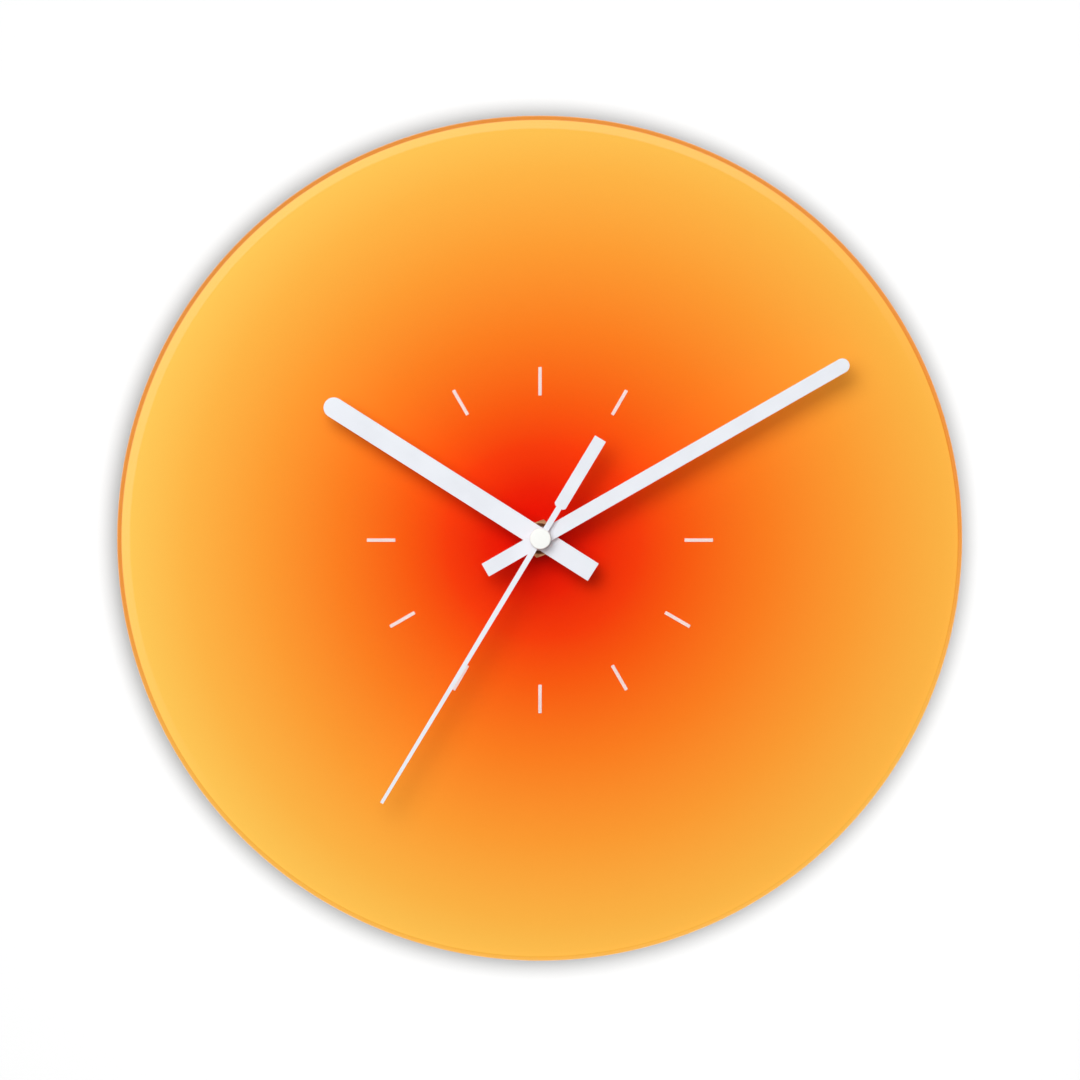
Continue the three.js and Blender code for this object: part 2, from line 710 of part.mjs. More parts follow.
function makeRearCover() {
  const top = caseWidth / 2;
  const eye = top + hangerEyeHeight;
  const tab = [
    new THREE.Vector2(-hangerHalfWidth, top - caseCorner),
    new THREE.Vector2(hangerHalfWidth, top - caseCorner),
    new THREE.Vector2(hangerHalfWidth, top + hangerFootRise / 2),
    ...arcPoints(hangerEyeRadius + hangerRim, 9, 0, eye, 30, 120),
    new THREE.Vector2(-hangerHalfWidth, top + hangerFootRise / 2),
  ];
  const hole = [
    new THREE.Vector2(-hangerEyeFoot, top + hangerFootRise),
    new THREE.Vector2(hangerEyeFoot, top + hangerFootRise),
    ...arcPoints(hangerEyeRadius, 9, 0, eye, 20, 140),
  ];
  let cover = slab(roundedSquare(top, caseCorner), 0, coverThickness);
  const behindCase = block([-caseWidth, coverThickness, 0], [caseWidth, caseDepth, top + 2 * seamGap]);
  cover = cover.add(slab(tab, 0, hangerThickness).subtract(behindCase));
  cover = cover.subtract(slab(hole, -past, hangerThickness + past));
  cover = cover.add(bar(wellRadius + wellWall, 0, wellFloor + wellWall, flats.well, settingAxis));
  cover = cover.subtract(bar(wellRadius, -past, wellFloor, flats.well, settingAxis));
  const wellFront = wellFloor + wellWall;
  cover = cover.subtract(bar(stemRadius + pivotGap, -past, wellFront + past, flats.stem, settingAxis));
  const doorHalf = inside - 2 * batteryGap;
  const doorTop = bayTop - batteryGap;
  cover = cover.subtract(block([-doorHalf, -past, -doorHalf], [doorHalf, coverThickness + past, doorTop]));
  const lipOut = inside - seamGap;
  const lipIn = lipOut - lipWidth;
  const lipFront = coverThickness + lipDepth;
  const lipBack = coverThickness - seamGap;
  const half = lipIn / 2;
  const wellTop = settingAxis.y + wellRadius + wellWall;
  for (const lip of [
    block([-half, lipBack, lipIn], [half, lipFront, lipOut]),
    block([lipIn, lipBack, 0], [lipOut, lipFront, half]),
    block([-lipOut, lipBack, wellTop], [-lipIn, lipFront, half]),
  ]) cover = cover.add(lip);
  piece('rear_cover', cover, blackPlastic);
}

// A plate with round holes, given as axis and radius pairs.
function plate(outline, from, to, holes) {
  const drilled = slab(outline, at(to), at(from));
  const drill = ([axis, radius]) => bar(radius, at(to) - past, at(from) + past, flats.post, axis);
  return holes.reduce((rest, hole) => rest.subtract(drill(hole)), drilled);
}

function makePlates() {
  const neckHoles = platePosts.map((post) => [post, postNeckRadius + pinGap]);
  const margin = postRadius + axialGap;
  const left = settingAxis.x - 2 * stemRadius;
  const right = platePosts[1].x + margin;
  const bottom = dividerTop + axialGap;
  const top = coilHeight - flangeRadius - motorGap;
  const corner = (x, z) => new THREE.Vector2(x, z);
  const middleOutline = [corner(left, bottom), corner(right, bottom), corner(right, top), corner(left, top)];
  const middle = plate(middleOutline, level.middlePlate, level.middlePlateEnd, [
    ...neckHoles,
    [shortPost, pinRadius + pinGap],
    [centreAxis, minuteRearRadius + runningGap],
    [thirdAxis, tipRadius(teeth.thirdPinion, centreModule, pinionTooth) + runningGap],
    [intermediateAxis, pivotHole],
    [rotorAxis, pivotHole],
    [settingAxis, stemRadius + pivotGap],
  ]);
  piece('middle_plate', middle, whitePlastic);
  const reach = wellRadius + wellWall + axialGap;
  const keepOff = polar(settingAxis, reach * plateCornerShare, plateCornerDirection);
  const trainOutline = [
    corner(platePosts[3].x - margin, platePosts[3].y + margin),
    corner(platePosts[3].x - margin, platePosts[3].y - margin),
    keepOff,
    corner(keepOff.x, centreAxis.y - arborRadius - margin),
    corner(platePosts[2].x - margin, bottom),
    corner(platePosts[2].x + margin, bottom),
    corner(platePosts[1].x + margin, platePosts[1].y - margin),
    corner(platePosts[1].x + margin, thirdAxis.y),
    corner(platePosts[0].x + margin, platePosts[0].y + margin),
  ];
  const train = plate(trainOutline, level.trainPlate, level.trainPlateEnd, [
    ...platePosts.map((post) => [post, pinRadius + pinGap]),
    [centreAxis, pivotHole],
    [thirdAxis, pivotHole],
    [intermediateAxis, pivotHole],
    [rotorAxis, pivotHole],
  ]);
  piece('train_plate', train, whitePlastic);
}

function makeMotionWork() {
  const cannonPhase = 0;
  const minutePhase = meshPhase(teeth.cannonPinion, cannonPhase, minuteDirection, teeth.minuteWheel);
  const settingPhase = meshPhase(teeth.minuteWheel, minutePhase, settingDirection, teeth.settingPinion);
  const hourPhase = meshPhase(teeth.minutePinion, 0, minuteDirection + 180, teeth.hourWheel);
  const { hourWheel, cannon, cannonEnd, minuteWheel, centreWheel, centreWheelEnd } = level;

  const hourEnd = hourWheel + motionWheelThickness;
  const hourDisc = gear(teeth.hourWheel, hourModule, wheelTooth, hourPhase, hourWheel, hourEnd);
  const hourPipe = bar(hourPipeRadius, at(hourEnd), hourPipeFront, flats.washer);
  const hourHole = bar(hourBore, at(hourEnd) - past, hourPipeFront + past, flats.magnet);
  piece('hour_wheel', hourDisc.add(hourPipe).subtract(hourHole), whitePlastic);

  const cannonGear = gear(teeth.cannonPinion, motionModule, pinionTooth, cannonPhase, cannon, cannonEnd);
  const arborEnd = level.middlePlateEnd - pivotGap;
  const minutePipe = bar(minutePipeRadius, at(cannonEnd), minutePipeFront, flats.magnet);
  const minuteRear = bar(minuteRearRadius, at(arborEnd), at(cannon), flats.magnet);
  const minuteHole = bar(minuteBore, at(arborEnd) - past, minutePipeFront + past, flats.stem);
  piece('minute_arbor', cannonGear.add(minutePipe).add(minuteRear).subtract(minuteHole), brass);

  const slipBore = minuteRearRadius + pivotGap;
  const hubRadius = 2 * minuteRearRadius;
  const clutch = tube(slipBore, hubRadius, at(level.clutchEnd), at(level.clutch), flats.magnet);
  piece('clutch_washer', clutch, steel);

  const centrePhase = meshPhase(teeth.thirdPinion, 0, thirdDirection + 180, teeth.centreWheel);
  const centreDisc = gear(
    teeth.centreWheel, centreModule, wheelTooth, centrePhase, centreWheel, centreWheelEnd);
  const hub = bar(hubRadius, at(centreWheelEnd + axialGap / 2), at(centreWheel), flats.magnet);
  const centreHole = bar(slipBore, at(centreWheelEnd) - past, at(centreWheel) + past, flats.magnet);
  piece('centre_wheel', centreDisc.add(hub).subtract(centreHole), whitePlastic);

  const minuteEnd = minuteWheel + motionWheelThickness;
  const minuteDisc = gear(teeth.minuteWheel, motionModule, wheelTooth, minutePhase, minuteWheel, minuteEnd);
  const minutePinion = gear(
    teeth.minutePinion, hourModule, pinionTooth, 0, hourWheel - axialGap / 2, minuteEnd);
  const minuteBoreCut = bar(pinRadius + pivotGap, at(minuteEnd) - past, frontInner + past, flats.pivot);
  piece('minute_wheel', minuteDisc.add(minutePinion).subtract(minuteBoreCut), whitePlastic, minuteAxis);

  const settingGear = gear(teeth.settingPinion, motionModule, pinionTooth, settingPhase, cannon, cannonEnd);
  const stemFront = bar(stemEndRadius, at(cannonEnd), frontInner - 2 * pivotGap, flats.pivot);
  const stem = bar(stemRadius, knobFront + seamGap, at(cannon + seamGap), flats.stem);
  const stemEnd = bar(stemEndRadius, knobRecess + knobThickness / 2, at(cannonEnd), flats.pivot);
  piece('setting_stem', settingGear.add(stemFront).add(stem).add(stemEnd), whitePlastic, settingAxis);
}

function makeKnob() {
  const points = [];
  for (let i = 0; i < knobRidges; i += 1) {
    const middle = 2 * Math.PI * i / knobRidges;
    for (const [radius, share] of [
      [knobRadius - knobRidgeHeight, -knobRidgeRoot],
      [knobRadius, -knobRidgeTip],
      [knobRadius, knobRidgeTip],
      [knobRadius - knobRidgeHeight, knobRidgeRoot],
    ]) {
      const angle = middle + share * 2 * Math.PI / knobRidges;
      points.push(new THREE.Vector2(radius * Math.cos(angle), radius * Math.sin(angle)));
    }
  }
  const holeBack = knobRecess + knobThickness / 2 - pivotGap;
  const hole = bar(stemEndRadius + pivotGap, holeBack, knobFront + past, flats.pivot);
  piece('setting_knob', slab(points, knobRecess, knobFront).subtract(hole), greyPlastic, settingAxis);
}

function makeTrain() {
  const thirdPhase = meshPhase(teeth.secondPinion, 0, thirdDirection, teeth.thirdWheel);
  const stepPhase = meshPhase(teeth.secondWheel, 0, intermediateDirection, teeth.intermediatePinion);
  const rotorPhase = meshPhase(teeth.intermediateWheel, 0, rotorDirection, teeth.rotorPinion);
  const { thirdWheel, thirdWheelEnd, secondWheel, secondWheelEnd, trainPlate } = level;
  const { intermediateWheel, intermediateWheelEnd, middlePlateEnd } = level;
  const over = pinionOverhang;

  const thirdDisc = gear(teeth.thirdWheel, trainModule, wheelTooth, thirdPhase, thirdWheel, thirdWheelEnd);
  const thirdPinion = gear(teeth.thirdPinion, centreModule, pinionTooth, 0, thirdPinionFront, thirdWheelEnd);
  const thirdArbor = arbor(thirdPinionFront, trainPlate - pivotGap, axialGap + pivotDepth, pivotDepth);
  piece('third_wheel', thirdDisc.add(thirdPinion).add(thirdArbor), whitePlastic, thirdAxis);

  const secondDisc = gear(teeth.secondWheel, trainModule, wheelTooth, 0, secondWheel, secondWheelEnd);
  const pinionFront = thirdWheel - over;
  const secondPinion = gear(teeth.secondPinion, trainModule, pinionTooth, 0, pinionFront, secondWheelEnd);
  const secondArbor = turned([
    [0, at(trainPlate + pivotDepth)],
    [pivotRadius, at(trainPlate + pivotDepth)],
    [pivotRadius, at(trainPlate - pivotGap)],
    [secondArborRadius, at(trainPlate - pivotGap)],
    [secondArborRadius, secondArborFront],
    [0, secondArborFront],
  ], flats.stem);
  piece('second_wheel', secondDisc.add(secondPinion).add(secondArbor), whitePlastic);

  const stepDisc = gear(
    teeth.intermediateWheel, trainModule, wheelTooth, 0, intermediateWheel, intermediateWheelEnd);
  const stepPinion = gear(
    teeth.intermediatePinion, trainModule, pinionTooth, stepPhase, secondWheel - over, intermediateWheelEnd);
  const stepArbor = arbor(middlePlateEnd + pivotGap, trainPlate - pivotGap, pivotDepth, pivotDepth);
  piece('intermediate_wheel', stepDisc.add(stepPinion).add(stepArbor), whitePlastic, intermediateAxis);

  const rotorGear = gear(
    teeth.rotorPinion, trainModule, pinionTooth, rotorPhase,
    intermediateWheel - over, intermediateWheelEnd + over);
  const rotorArbor = arbor(middlePlateEnd + pivotGap, trainPlate - pivotGap, pivotDepth, pivotDepth);
  piece('rotor_pinion', rotorGear.add(rotorArbor), whitePlastic, rotorAxis);
  const magnetMiddle = level.stator + statorThickness / 2;
  const magnetBack = at(magnetMiddle + magnetLength / 2);
  const magnetFront = magnetBack + magnetLength;
  const magnet = tube(arborRadius + seamGap, magnetRadius, magnetBack, magnetFront, flats.magnet);
  piece('rotor_magnet', magnet, magnetBlack, rotorAxis);
}

function makeMotor() {
  const [leftLeg, rightLeg] = legCentres;
  const half = statorLegWidth / 2;
  const barHalf = statorBarHeight / 2;
  const legTop = coilHeight + half;
  const outline = [
    [leftLeg.x - half, rotorAxis.y - barHalf],
    [rightLeg.x + half, rotorAxis.y - barHalf],
    [rightLeg.x + half, legTop],
    [rightLeg.x - half, legTop],
    [rightLeg.x - half, rotorAxis.y + barHalf],
    [leftLeg.x + half, rotorAxis.y + barHalf],
    [leftLeg.x + half, legTop],
    [leftLeg.x - half, legTop],
  ].map(([x, z]) => new THREE.Vector2(x, z));
  const [from, to] = [at(level.statorEnd), at(level.stator)];
  const hole = magnetRadius + statorGap;
  let yoke = slab(outline, from, to).add(bar(hole + statorCollar, from, to, flats.washer, rotorAxis));
  yoke = yoke.subtract(bar(hole, from - past, to + past, flats.washer, rotorAxis));
  for (const side of [-1, 1]) {
    const notch = polar(rotorAxis, hole, 90 * side);
    yoke = yoke.subtract(bar(statorNotch, from - past, to + past, flats.post, notch));
    const leg = legCentres[(side + 1) / 2];
    yoke = yoke.subtract(bar(pinRadius + pinGap, from - past, to + past, flats.pivot, leg));
  }
  piece('stator', yoke, steel);

  const coreBack = to + seamGap / 2;
  const coreFront = coreBack + statorThickness - seamGap;
  const coreHalf = coreWidth / 2;
  let core = block(
    [leftLeg.x - half, coreBack, coilHeight - coreHalf],
    [rightLeg.x + half, coreFront, coilHeight + coreHalf],
  );
  for (const leg of legCentres) {
    const legHole = bar(pinRadius + pinGap, coreBack - past, coreFront + past, flats.pivot, leg);
    core = core.subtract(legHole);
  }
  piece('coil_core', core, steel);

  const coilDistance = (coreBack + coreFront) / 2;
  const [coilLeft, coilRight] = [coilMiddle - coilLength / 2, coilMiddle + coilLength / 2];
  let bobbin = turnedAlongX([
    [0, coilLeft],
    [flangeRadius, coilLeft],
    [flangeRadius, coilLeft + flangeThickness],
    [bobbinTubeRadius, coilLeft + flangeThickness],
    [bobbinTubeRadius, coilRight - flangeThickness],
    [flangeRadius, coilRight - flangeThickness],
    [flangeRadius, coilRight],
    [0, coilRight],
  ], flats.magnet, coilDistance, coilHeight);
  bobbin = bobbin.subtract(block(
    [coilLeft - past, coreBack - pinGap, coilHeight - coreHalf - pinGap],
    [coilRight + past, coreFront + pinGap, coilHeight + coreHalf + pinGap],
  ));
  piece('coil_bobbin', bobbin, greyPlastic);
  const windingInner = bobbinTubeRadius + seamGap;
  const windingLeft = coilLeft + flangeThickness + seamGap;
  const windingRight = coilRight - flangeThickness - seamGap;
  const winding = turnedAlongX([
    [windingInner, windingLeft],
    [coilRadius, windingLeft],
    [coilRadius, windingRight],
    [windingInner, windingRight],
  ], flats.magnet, coilDistance, coilHeight);
  piece('coil_winding', winding, copper);
}

function makeBattery() {
  const shoulder = batteryPlus - nubLength;
  const cell = batteryRadius - sleeveThickness - seamGap;
  const can = turnedAlongX([
    [0, batteryMinus],
    [cell, batteryMinus],
    [cell, shoulder],
    [nubRadius, shoulder],
    [nubRadius, batteryPlus],
    [0, batteryPlus],
  ], flats.cell, batteryAxisDistance, batteryHeight);
  piece('battery_cell', can, steel);
  const sleeve = turnedAlongX([
    [batteryRadius - sleeveThickness, batteryMinus + sleeveEnd],
    [batteryRadius, batteryMinus + sleeveEnd],
    [batteryRadius, shoulder - sleeveEnd],
    [batteryRadius - sleeveThickness, shoulder - sleeveEnd],
  ], flats.cell, batteryAxisDistance, batteryHeight);
  piece('battery_sleeve', sleeve, sleevePaint);
}

// A contact of bent strip: a pad at the battery's end, a strip up the wall and a tab on the board.
function contactStrip(side) {
  const outer = inside - seamGap;
  const between = (a, b) => [side * a, side * b].sort((p, q) => p - q);
  const padBack = batteryAxisDistance - contactWidth / 2;
  const padFront = padBack + contactWidth;
  const padLow = batteryHeight - contactWidth / 2;
  const padHigh = batteryHeight + contactWidth / 2;
  const stripBack = at(level.board) + seamGap / 2;
  const stripEnd = boardTop - stripWidth / 2;
  const outline = [
    [padBack, padLow],
    [padFront, padLow],
    [padFront, padHigh],
    [stripBack + stripWidth, padHigh],
    [stripBack + stripWidth, stripEnd],
    [stripBack, stripEnd],
    [stripBack, padHigh],
    [padBack, padHigh],
  ].map(([distance, z]) => new THREE.Vector2(-distance, z));
  const strip = slab(outline, ...between(contactFace, outer)).rotate([0, 0, 90]);
  const [t0, t1] = between(contactFace - tabReach, contactFace + contactThickness / 2);
  const tabLow = stripEnd - stripWidth;
  const tab = block([t0, stripBack, tabLow], [t1, stripBack + contactThickness, stripEnd - contactThickness]);
  return strip.add(tab);
}

function makeContacts() {
  const cup = turnedAlongX([
    [0, contactFace - cupHeight],
    [nubRadius, contactFace - cupHeight],
    [nubRadius + contactThickness, contactFace + seamGap],
    [0, contactFace + seamGap],
  ], flats.cup, batteryAxisDistance, batteryHeight);
  piece('contact_positive', contactStrip(1).add(cup), steel);

  // The spring is a leaf bowed to a circle, with both feet on the pad.
  const bow = batteryMinus - seamGap + contactFace;
  const bend = (springSpan * springSpan / 4 + bow * bow) / (2 * bow);
  const bendX = bow - contactFace - bend;
  const halfWidth = contactWidth / 4;
  const [back, front] = [batteryAxisDistance - halfWidth, batteryAxisDistance + halfWidth];
  const ring = slab(
    arcPoints(bend, flats.bow, bendX, batteryHeight),
    back,
    front,
    [arcPoints(bend - contactThickness, flats.bow, bendX, batteryHeight)],
  );
  const foot = -contactFace - contactThickness / 2;
  const leaf = ring.intersect(block([foot, back - past, -caseWidth], [0, front + past, caseWidth]));
  piece('contact_negative', contactStrip(-1).add(leaf), steel);
}

function makeBoard() {
  const outline = [
    [-boardHalf, boardBottom],
    [boardHalf, boardBottom],
    [boardHalf, boardTop],
    [-boardHalf, boardTop],
  ].map(([x, z]) => new THREE.Vector2(x, z));
  const holes = boardPosts.map((post) => [post, pinRadius + pinGap]);
  piece('circuit_board', plate(outline, level.board, level.boardEnd, holes), boardGreen);
  const front = at(level.board);
  const middle = (boardPosts[1].x + boardPosts[2].x) / 2;
  const crystalZ = boardTop - 2 * crystalRadius;
  const crystal = turnedAlongX([
    [0, middle - crystalLength / 2],
    [crystalRadius, middle - crystalLength / 2],
    [crystalRadius, middle + crystalLength / 2],
    [0, middle + crystalLength / 2],
  ], flats.stem, front + crystalRadius + seamGap, crystalZ);
  piece('quartz_crystal', crystal, steel);
  const chipAxis = new THREE.Vector2(middle, boardBottom + chipWidth / 2);
  const chip = turned([
    [0, front + seamGap / 2],
    [chipWidth / 2, front + seamGap / 2],
    [chipWidth / 2, front + chipRim],
    [chipWidth / 2 * chipTopShare, front + chipHeight],
    [0, front + chipHeight],
  ], flats.stem);
  piece('driver_chip', chip, blackPlastic, chipAxis);
}

makeGlass();
makePrint();
makeMarks();
makeFixing();
makeHourHand();
makeMinuteHand();
makeSecondHand();
makeFrontCase();
makeRearCover();
makePlates();
makeMotionWork();
makeKnob();
makeTrain();
makeMotor();
makeBattery();
makeContacts();
makeBoard();

export default clock;
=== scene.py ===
import math

import bmesh
import bpy
from mathutils import Matrix, Vector


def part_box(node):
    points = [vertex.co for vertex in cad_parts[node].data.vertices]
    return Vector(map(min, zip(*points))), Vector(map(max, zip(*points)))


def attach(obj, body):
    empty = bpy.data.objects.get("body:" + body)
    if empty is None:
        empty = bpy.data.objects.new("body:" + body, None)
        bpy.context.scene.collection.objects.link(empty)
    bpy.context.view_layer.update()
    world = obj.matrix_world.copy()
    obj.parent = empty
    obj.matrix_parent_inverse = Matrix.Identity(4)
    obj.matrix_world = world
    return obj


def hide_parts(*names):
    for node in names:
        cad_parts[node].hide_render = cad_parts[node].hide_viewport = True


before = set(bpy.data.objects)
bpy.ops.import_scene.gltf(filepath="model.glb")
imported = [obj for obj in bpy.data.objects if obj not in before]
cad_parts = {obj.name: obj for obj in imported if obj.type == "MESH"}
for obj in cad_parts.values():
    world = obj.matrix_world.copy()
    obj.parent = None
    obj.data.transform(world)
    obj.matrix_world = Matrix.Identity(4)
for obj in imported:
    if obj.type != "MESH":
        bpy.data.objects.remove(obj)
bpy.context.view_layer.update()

print("frame loaded")

mm = 0.001              # cutters reach one of these past what they cut
mergeDistance = 1e-6
smoothAngle = math.radians(32)
rimAngle = 0.3          # radians, the least turn between the faces beside a rim
rimSlack = 0.01 * mm
roundSegments = 2
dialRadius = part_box("glass_pane")[1].x
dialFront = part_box("glass_pane")[0].y


# Measures

def depth(node, front=True):
    # distance of a node's front or back from the wall
    low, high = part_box(node)
    return -low.y if front else -high.y


def middle(node):
    low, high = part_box(node)
    return (low + high) / 2


def reach(node):
    # radius of a round node, half its width
    low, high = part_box(node)
    return (high.x - low.x) / 2


def srgb(red, green, blue):
    # a colour as seen on screen, 0 to 255, as the linear one that shaders use
    def linear(value):
        share = value / 255
        return share / 12.92 if share <= 0.04045 else ((share + 0.055) / 1.055) ** 2.4

    return (linear(red), linear(green), linear(blue), 1)


# Shader maths: a Link is an output socket, and arithmetic on it adds Math nodes

class Link:
    def __init__(self, finish, socket):
        self.finish = finish
        self.socket = socket

    def maths(self, operation, first, second=0.0):
        return self.finish.node("ShaderNodeMath", {"operation": operation}, {0: first, 1: second})

    def __add__(self, other):
        return self.maths("ADD", self, other)

    __radd__ = __add__

    def __sub__(self, other):
        return self.maths("SUBTRACT", self, other)

    def __rsub__(self, other):
        return self.maths("SUBTRACT", other, self)

    def __mul__(self, other):
        return self.maths("MULTIPLY", self, other)

    __rmul__ = __mul__

    def __truediv__(self, other):
        return self.maths("DIVIDE", self, other)

    def __pow__(self, other):
        return self.maths("POWER", self, other)

    def __gt__(self, other):
        return self.maths("GREATER_THAN", self, other)

    def __lt__(self, other):
        return self.maths("LESS_THAN", self, other)

    def most(self, other):
        return self.maths("MAXIMUM", self, other)

    def wave(self):
        return self.maths("SINE", self)

    def step(self, start, end):
        # 0 before start, 1 after end, smooth between them
        settings = {"interpolation_type": "SMOOTHSTEP"}
        return self.finish.node("ShaderNodeMapRange", settings, {0: self, 1: start, 2: end})


class Finish:
    # one node tree, for a material or for the world

    def __init__(self, owner, output):
        owner.use_nodes = True
        self.owner = owner
        self.tree = owner.node_tree
        self.tree.nodes.clear()
        self.output = self.tree.nodes.new(output)

    def node(self, kind, settings=None, sockets=None, out=0):
        made = self.tree.nodes.new(kind)
        for name, value in (settings or {}).items():
            if name == "stops":
                self.setStops(made.color_ramp, value)
            else:
                setattr(made, name, value)
        for name, value in (sockets or {}).items():
            if isinstance(value, Link):
                self.tree.links.new(value.socket, made.inputs[name])
            else:
                made.inputs[name].default_value = value
        return Link(self, made.outputs[out])

    def setStops(self, ramp, stops):
        while len(ramp.elements) < len(stops):
            ramp.elements.new(0.5)
        for element, (place, colour) in zip(ramp.elements, stops):
            element.position = place
            element.color = colour

    def ray(self, kind):
        # 1 for light of this kind, else 0
        return self.node("ShaderNodeLightPath", out=f"Is {kind} Ray")

    def spot(self, space="Object"):
        return self.node("ShaderNodeTexCoord", out=space)

    def place(self, space="Object"):
        # the three coordinates, which are metres in a material and a direction in the world
        spot = self.spot(space)
        return [self.node("ShaderNodeSeparateXYZ", None, {0: spot}, out) for out in range(3)]

    def noise(self, size, detail=2.0, rough=0.5):
        # size is the width of one blotch in metres
        sockets = {"Vector": self.spot(), "Scale": 1 / size, "Detail": detail, "Roughness": rough}
        return self.node("ShaderNodeTexNoise", None, sockets)

    def mix(self, share, first, second):
        settings = {"data_type": "RGBA"}
        return self.node("ShaderNodeMix", settings, {0: share, 6: first, 7: second}, 2)

    def bump(self, height, distance):
        return self.node("ShaderNodeBump", None, {"Height": height, "Distance": distance, "Strength": 1.0})

    def shader(self, **sockets):
        named = {name.replace("_", " "): value for name, value in sockets.items()}
        return self.node("ShaderNodeBsdfPrincipled", None, named)

    def end(self, surface):
        self.tree.links.new(surface.socket, self.output.inputs["Surface"])
        return self.owner


def newFinish(name):
    return Finish(bpy.data.materials.new(name), "ShaderNodeOutputMaterial")


# Finishes

printValues = {
    "reach": 155 * mm,      # where the last colour is met
    "middle": (-1.6 * mm, -0.3 * mm),
    "drift": (-0.08, 0.02),         # the rings drift sideways and down as they grow
    "rings": [
        (0.00, srgb(228, 10, 2)),
        (0.07, srgb(229, 14, 1)),
        (0.12, srgb(232, 28, 3)),
        (0.22, srgb(246, 58, 8)),
        (0.32, srgb(250, 89, 15)),
        (0.49, srgb(253, 125, 31)),
        (0.68, srgb(254, 155, 50)),
        (0.86, srgb(254, 179, 69)),
        (1.00, srgb(254, 199, 87)),
    ],
    "grain": 0.35 * mm,
    "grainShare": 0.012,
    "grainTint": srgb(255, 185, 95),
    "roughness": 0.6,
}


def printColour(finish):
    # colour of the ink: rings that drift apart from the red middle to the amber rim
    x, _, z = finish.place()
    midX, midZ = printValues["middle"]
    driftX, driftZ = printValues["drift"]
    across, up = x - midX, z - midZ
    ring = (across * across + up * up) ** 0.5 + x * driftX + z * driftZ
    ramp = {"stops": printValues["rings"]}
    return finish.node("ShaderNodeValToRGB", ramp, {0: ring / printValues["reach"]})


def endInk(finish, tone):
    # ink that lies on the glass has no shine of its own
    surface = finish.shader(Base_Color=tone, Roughness=printValues["roughness"], Specular_IOR_Level=0.0)
    return finish.end(surface)


def makePrintInk():
    finish = newFinish("printInk")
    ink = printColour(finish)
    dots = finish.noise(printValues["grain"])
    return endInk(finish, finish.mix(dots * printValues["grainShare"], ink, printValues["grainTint"]))


edgeValues = {
    "paintedShadeNearLight": srgb(230, 140, 42),          # painted shade on the ink that wraps the glass's back edge: deeper orange towards the light, paler away from it
    "far": srgb(240, 176, 64),
    "paintedShadeLightSide": (-0.1, 1.0),
    "fade": (-0.6, 0.1),
    "mottle": 6 * mm,
    "mottleShare": 0.12,
}


def makeEdgeInkPaintedShade():
    finish = newFinish("edgeInkPaintedShade")
    x, _, z = finish.place()
    toX, toZ = edgeValues["paintedShadeLightSide"]
    # painted shade: the ink's tone follows the side that faces the lamps, deeper towards them and paler away
    side = (x * toX + z * toZ) / dialRadius
    tone = finish.mix(side.step(*edgeValues["fade"]), edgeValues["far"], edgeValues["paintedShadeNearLight"])
    cloud = finish.noise(edgeValues["mottle"], 3)
    return endInk(finish, finish.mix(cloud * edgeValues["mottleShare"], tone, printValues["grainTint"]))


lacquerValues = {
    "tone": srgb(120, 119, 117),
    "mottle": srgb(98, 97, 96),
    "cloud": 38 * mm,
    "fade": (0.3, 0.7),
    "peel": 0.9 * mm,
    "peelDepth": 0.03 * mm,
    "peelShare": 0.2,
    "roughness": 0.42,
}


def makeLacquer():
    # the grey coat that guards the back of the ink
    finish = newFinish("backLacquer")
    cloud = finish.noise(lacquerValues["cloud"], 4)
    tone = finish.mix(cloud.step(*lacquerValues["fade"]), lacquerValues["tone"], lacquerValues["mottle"])
    peel = finish.noise(lacquerValues["peel"], 3)
    surface = finish.shader(
        Base_Color=tone,
        Roughness=lacquerValues["roughness"] + peel * lacquerValues["peelShare"],
        Normal=finish.bump(peel, lacquerValues["peelDepth"]),
    )
    return finish.end(surface)


glassValues = {
    "tint": (0.965, 0.99, 0.98, 1),
    "roughness": 0.015,
    "index": 1.5,
}


def makeGlass():
    # clear to lamps, so that the ink behind it takes their light and the hands' shadows
    finish = newFinish("clearGlass")
    pane = finish.shader(
        Base_Color=glassValues["tint"],
        Roughness=glassValues["roughness"],
        IOR=glassValues["index"],
        Transmission_Weight=1.0,
    )
    clear = finish.node("ShaderNodeBsdfTransparent")
    through = finish.ray("Shadow").most(finish.ray("Diffuse"))
    return finish.end(finish.node("ShaderNodeMixShader", None, {0: through, 1: pane, 2: clear}))


def waves(place, pitch):
    # a wave from -1 to 1 along a coordinate, one every pitch
    return (place * (2 * math.pi / pitch)).wave()


paintValues = {"cloud": 14 * mm, "fade": (0.35, 0.75), "peelShare": 0.1}


def makePaint(name, colour, shade, roughness, peelSize, peelDepth):
    # sprayed satin paint: a faint orange peel and a slight change of tone
    finish = newFinish(name)
    cloud = finish.noise(paintValues["cloud"], 3)
    peel = finish.noise(peelSize, 2)
    surface = finish.shader(
        Base_Color=finish.mix(cloud.step(*paintValues["fade"]), colour, shade),
        Roughness=roughness + peel * paintValues["peelShare"],
        Normal=finish.bump(peel, peelDepth),
    )
    return finish.end(surface)


metalValues = {
    "blotch": 3 * mm,
    "fade": (0.42, 0.72),
    "blotchShare": 0.15,
    "grain": 0.12 * mm,
    "ringShare": 0.5,
    "depth": 0.004 * mm,
}


def makeMetal(name, colour, worn, roughness, ringPitch=None):
    # turned or plated metal: fine rings round the hand axis, and duller blotches
    finish = newFinish(name)
    x, _, z = finish.place()
    blotch = finish.noise(metalValues["blotch"], 4)
    tone = finish.mix(blotch.step(*metalValues["fade"]), colour, worn)
    height = finish.noise(metalValues["grain"], 2)
    if ringPitch:
        height = waves((x * x + z * z) ** 0.5, ringPitch) * metalValues["ringShare"] + height
    surface = finish.shader(
        Base_Color=tone,
        Metallic=1.0,
        Roughness=roughness + blotch * metalValues["blotchShare"],
        Normal=finish.bump(height, metalValues["depth"]),
    )
    return finish.end(surface)


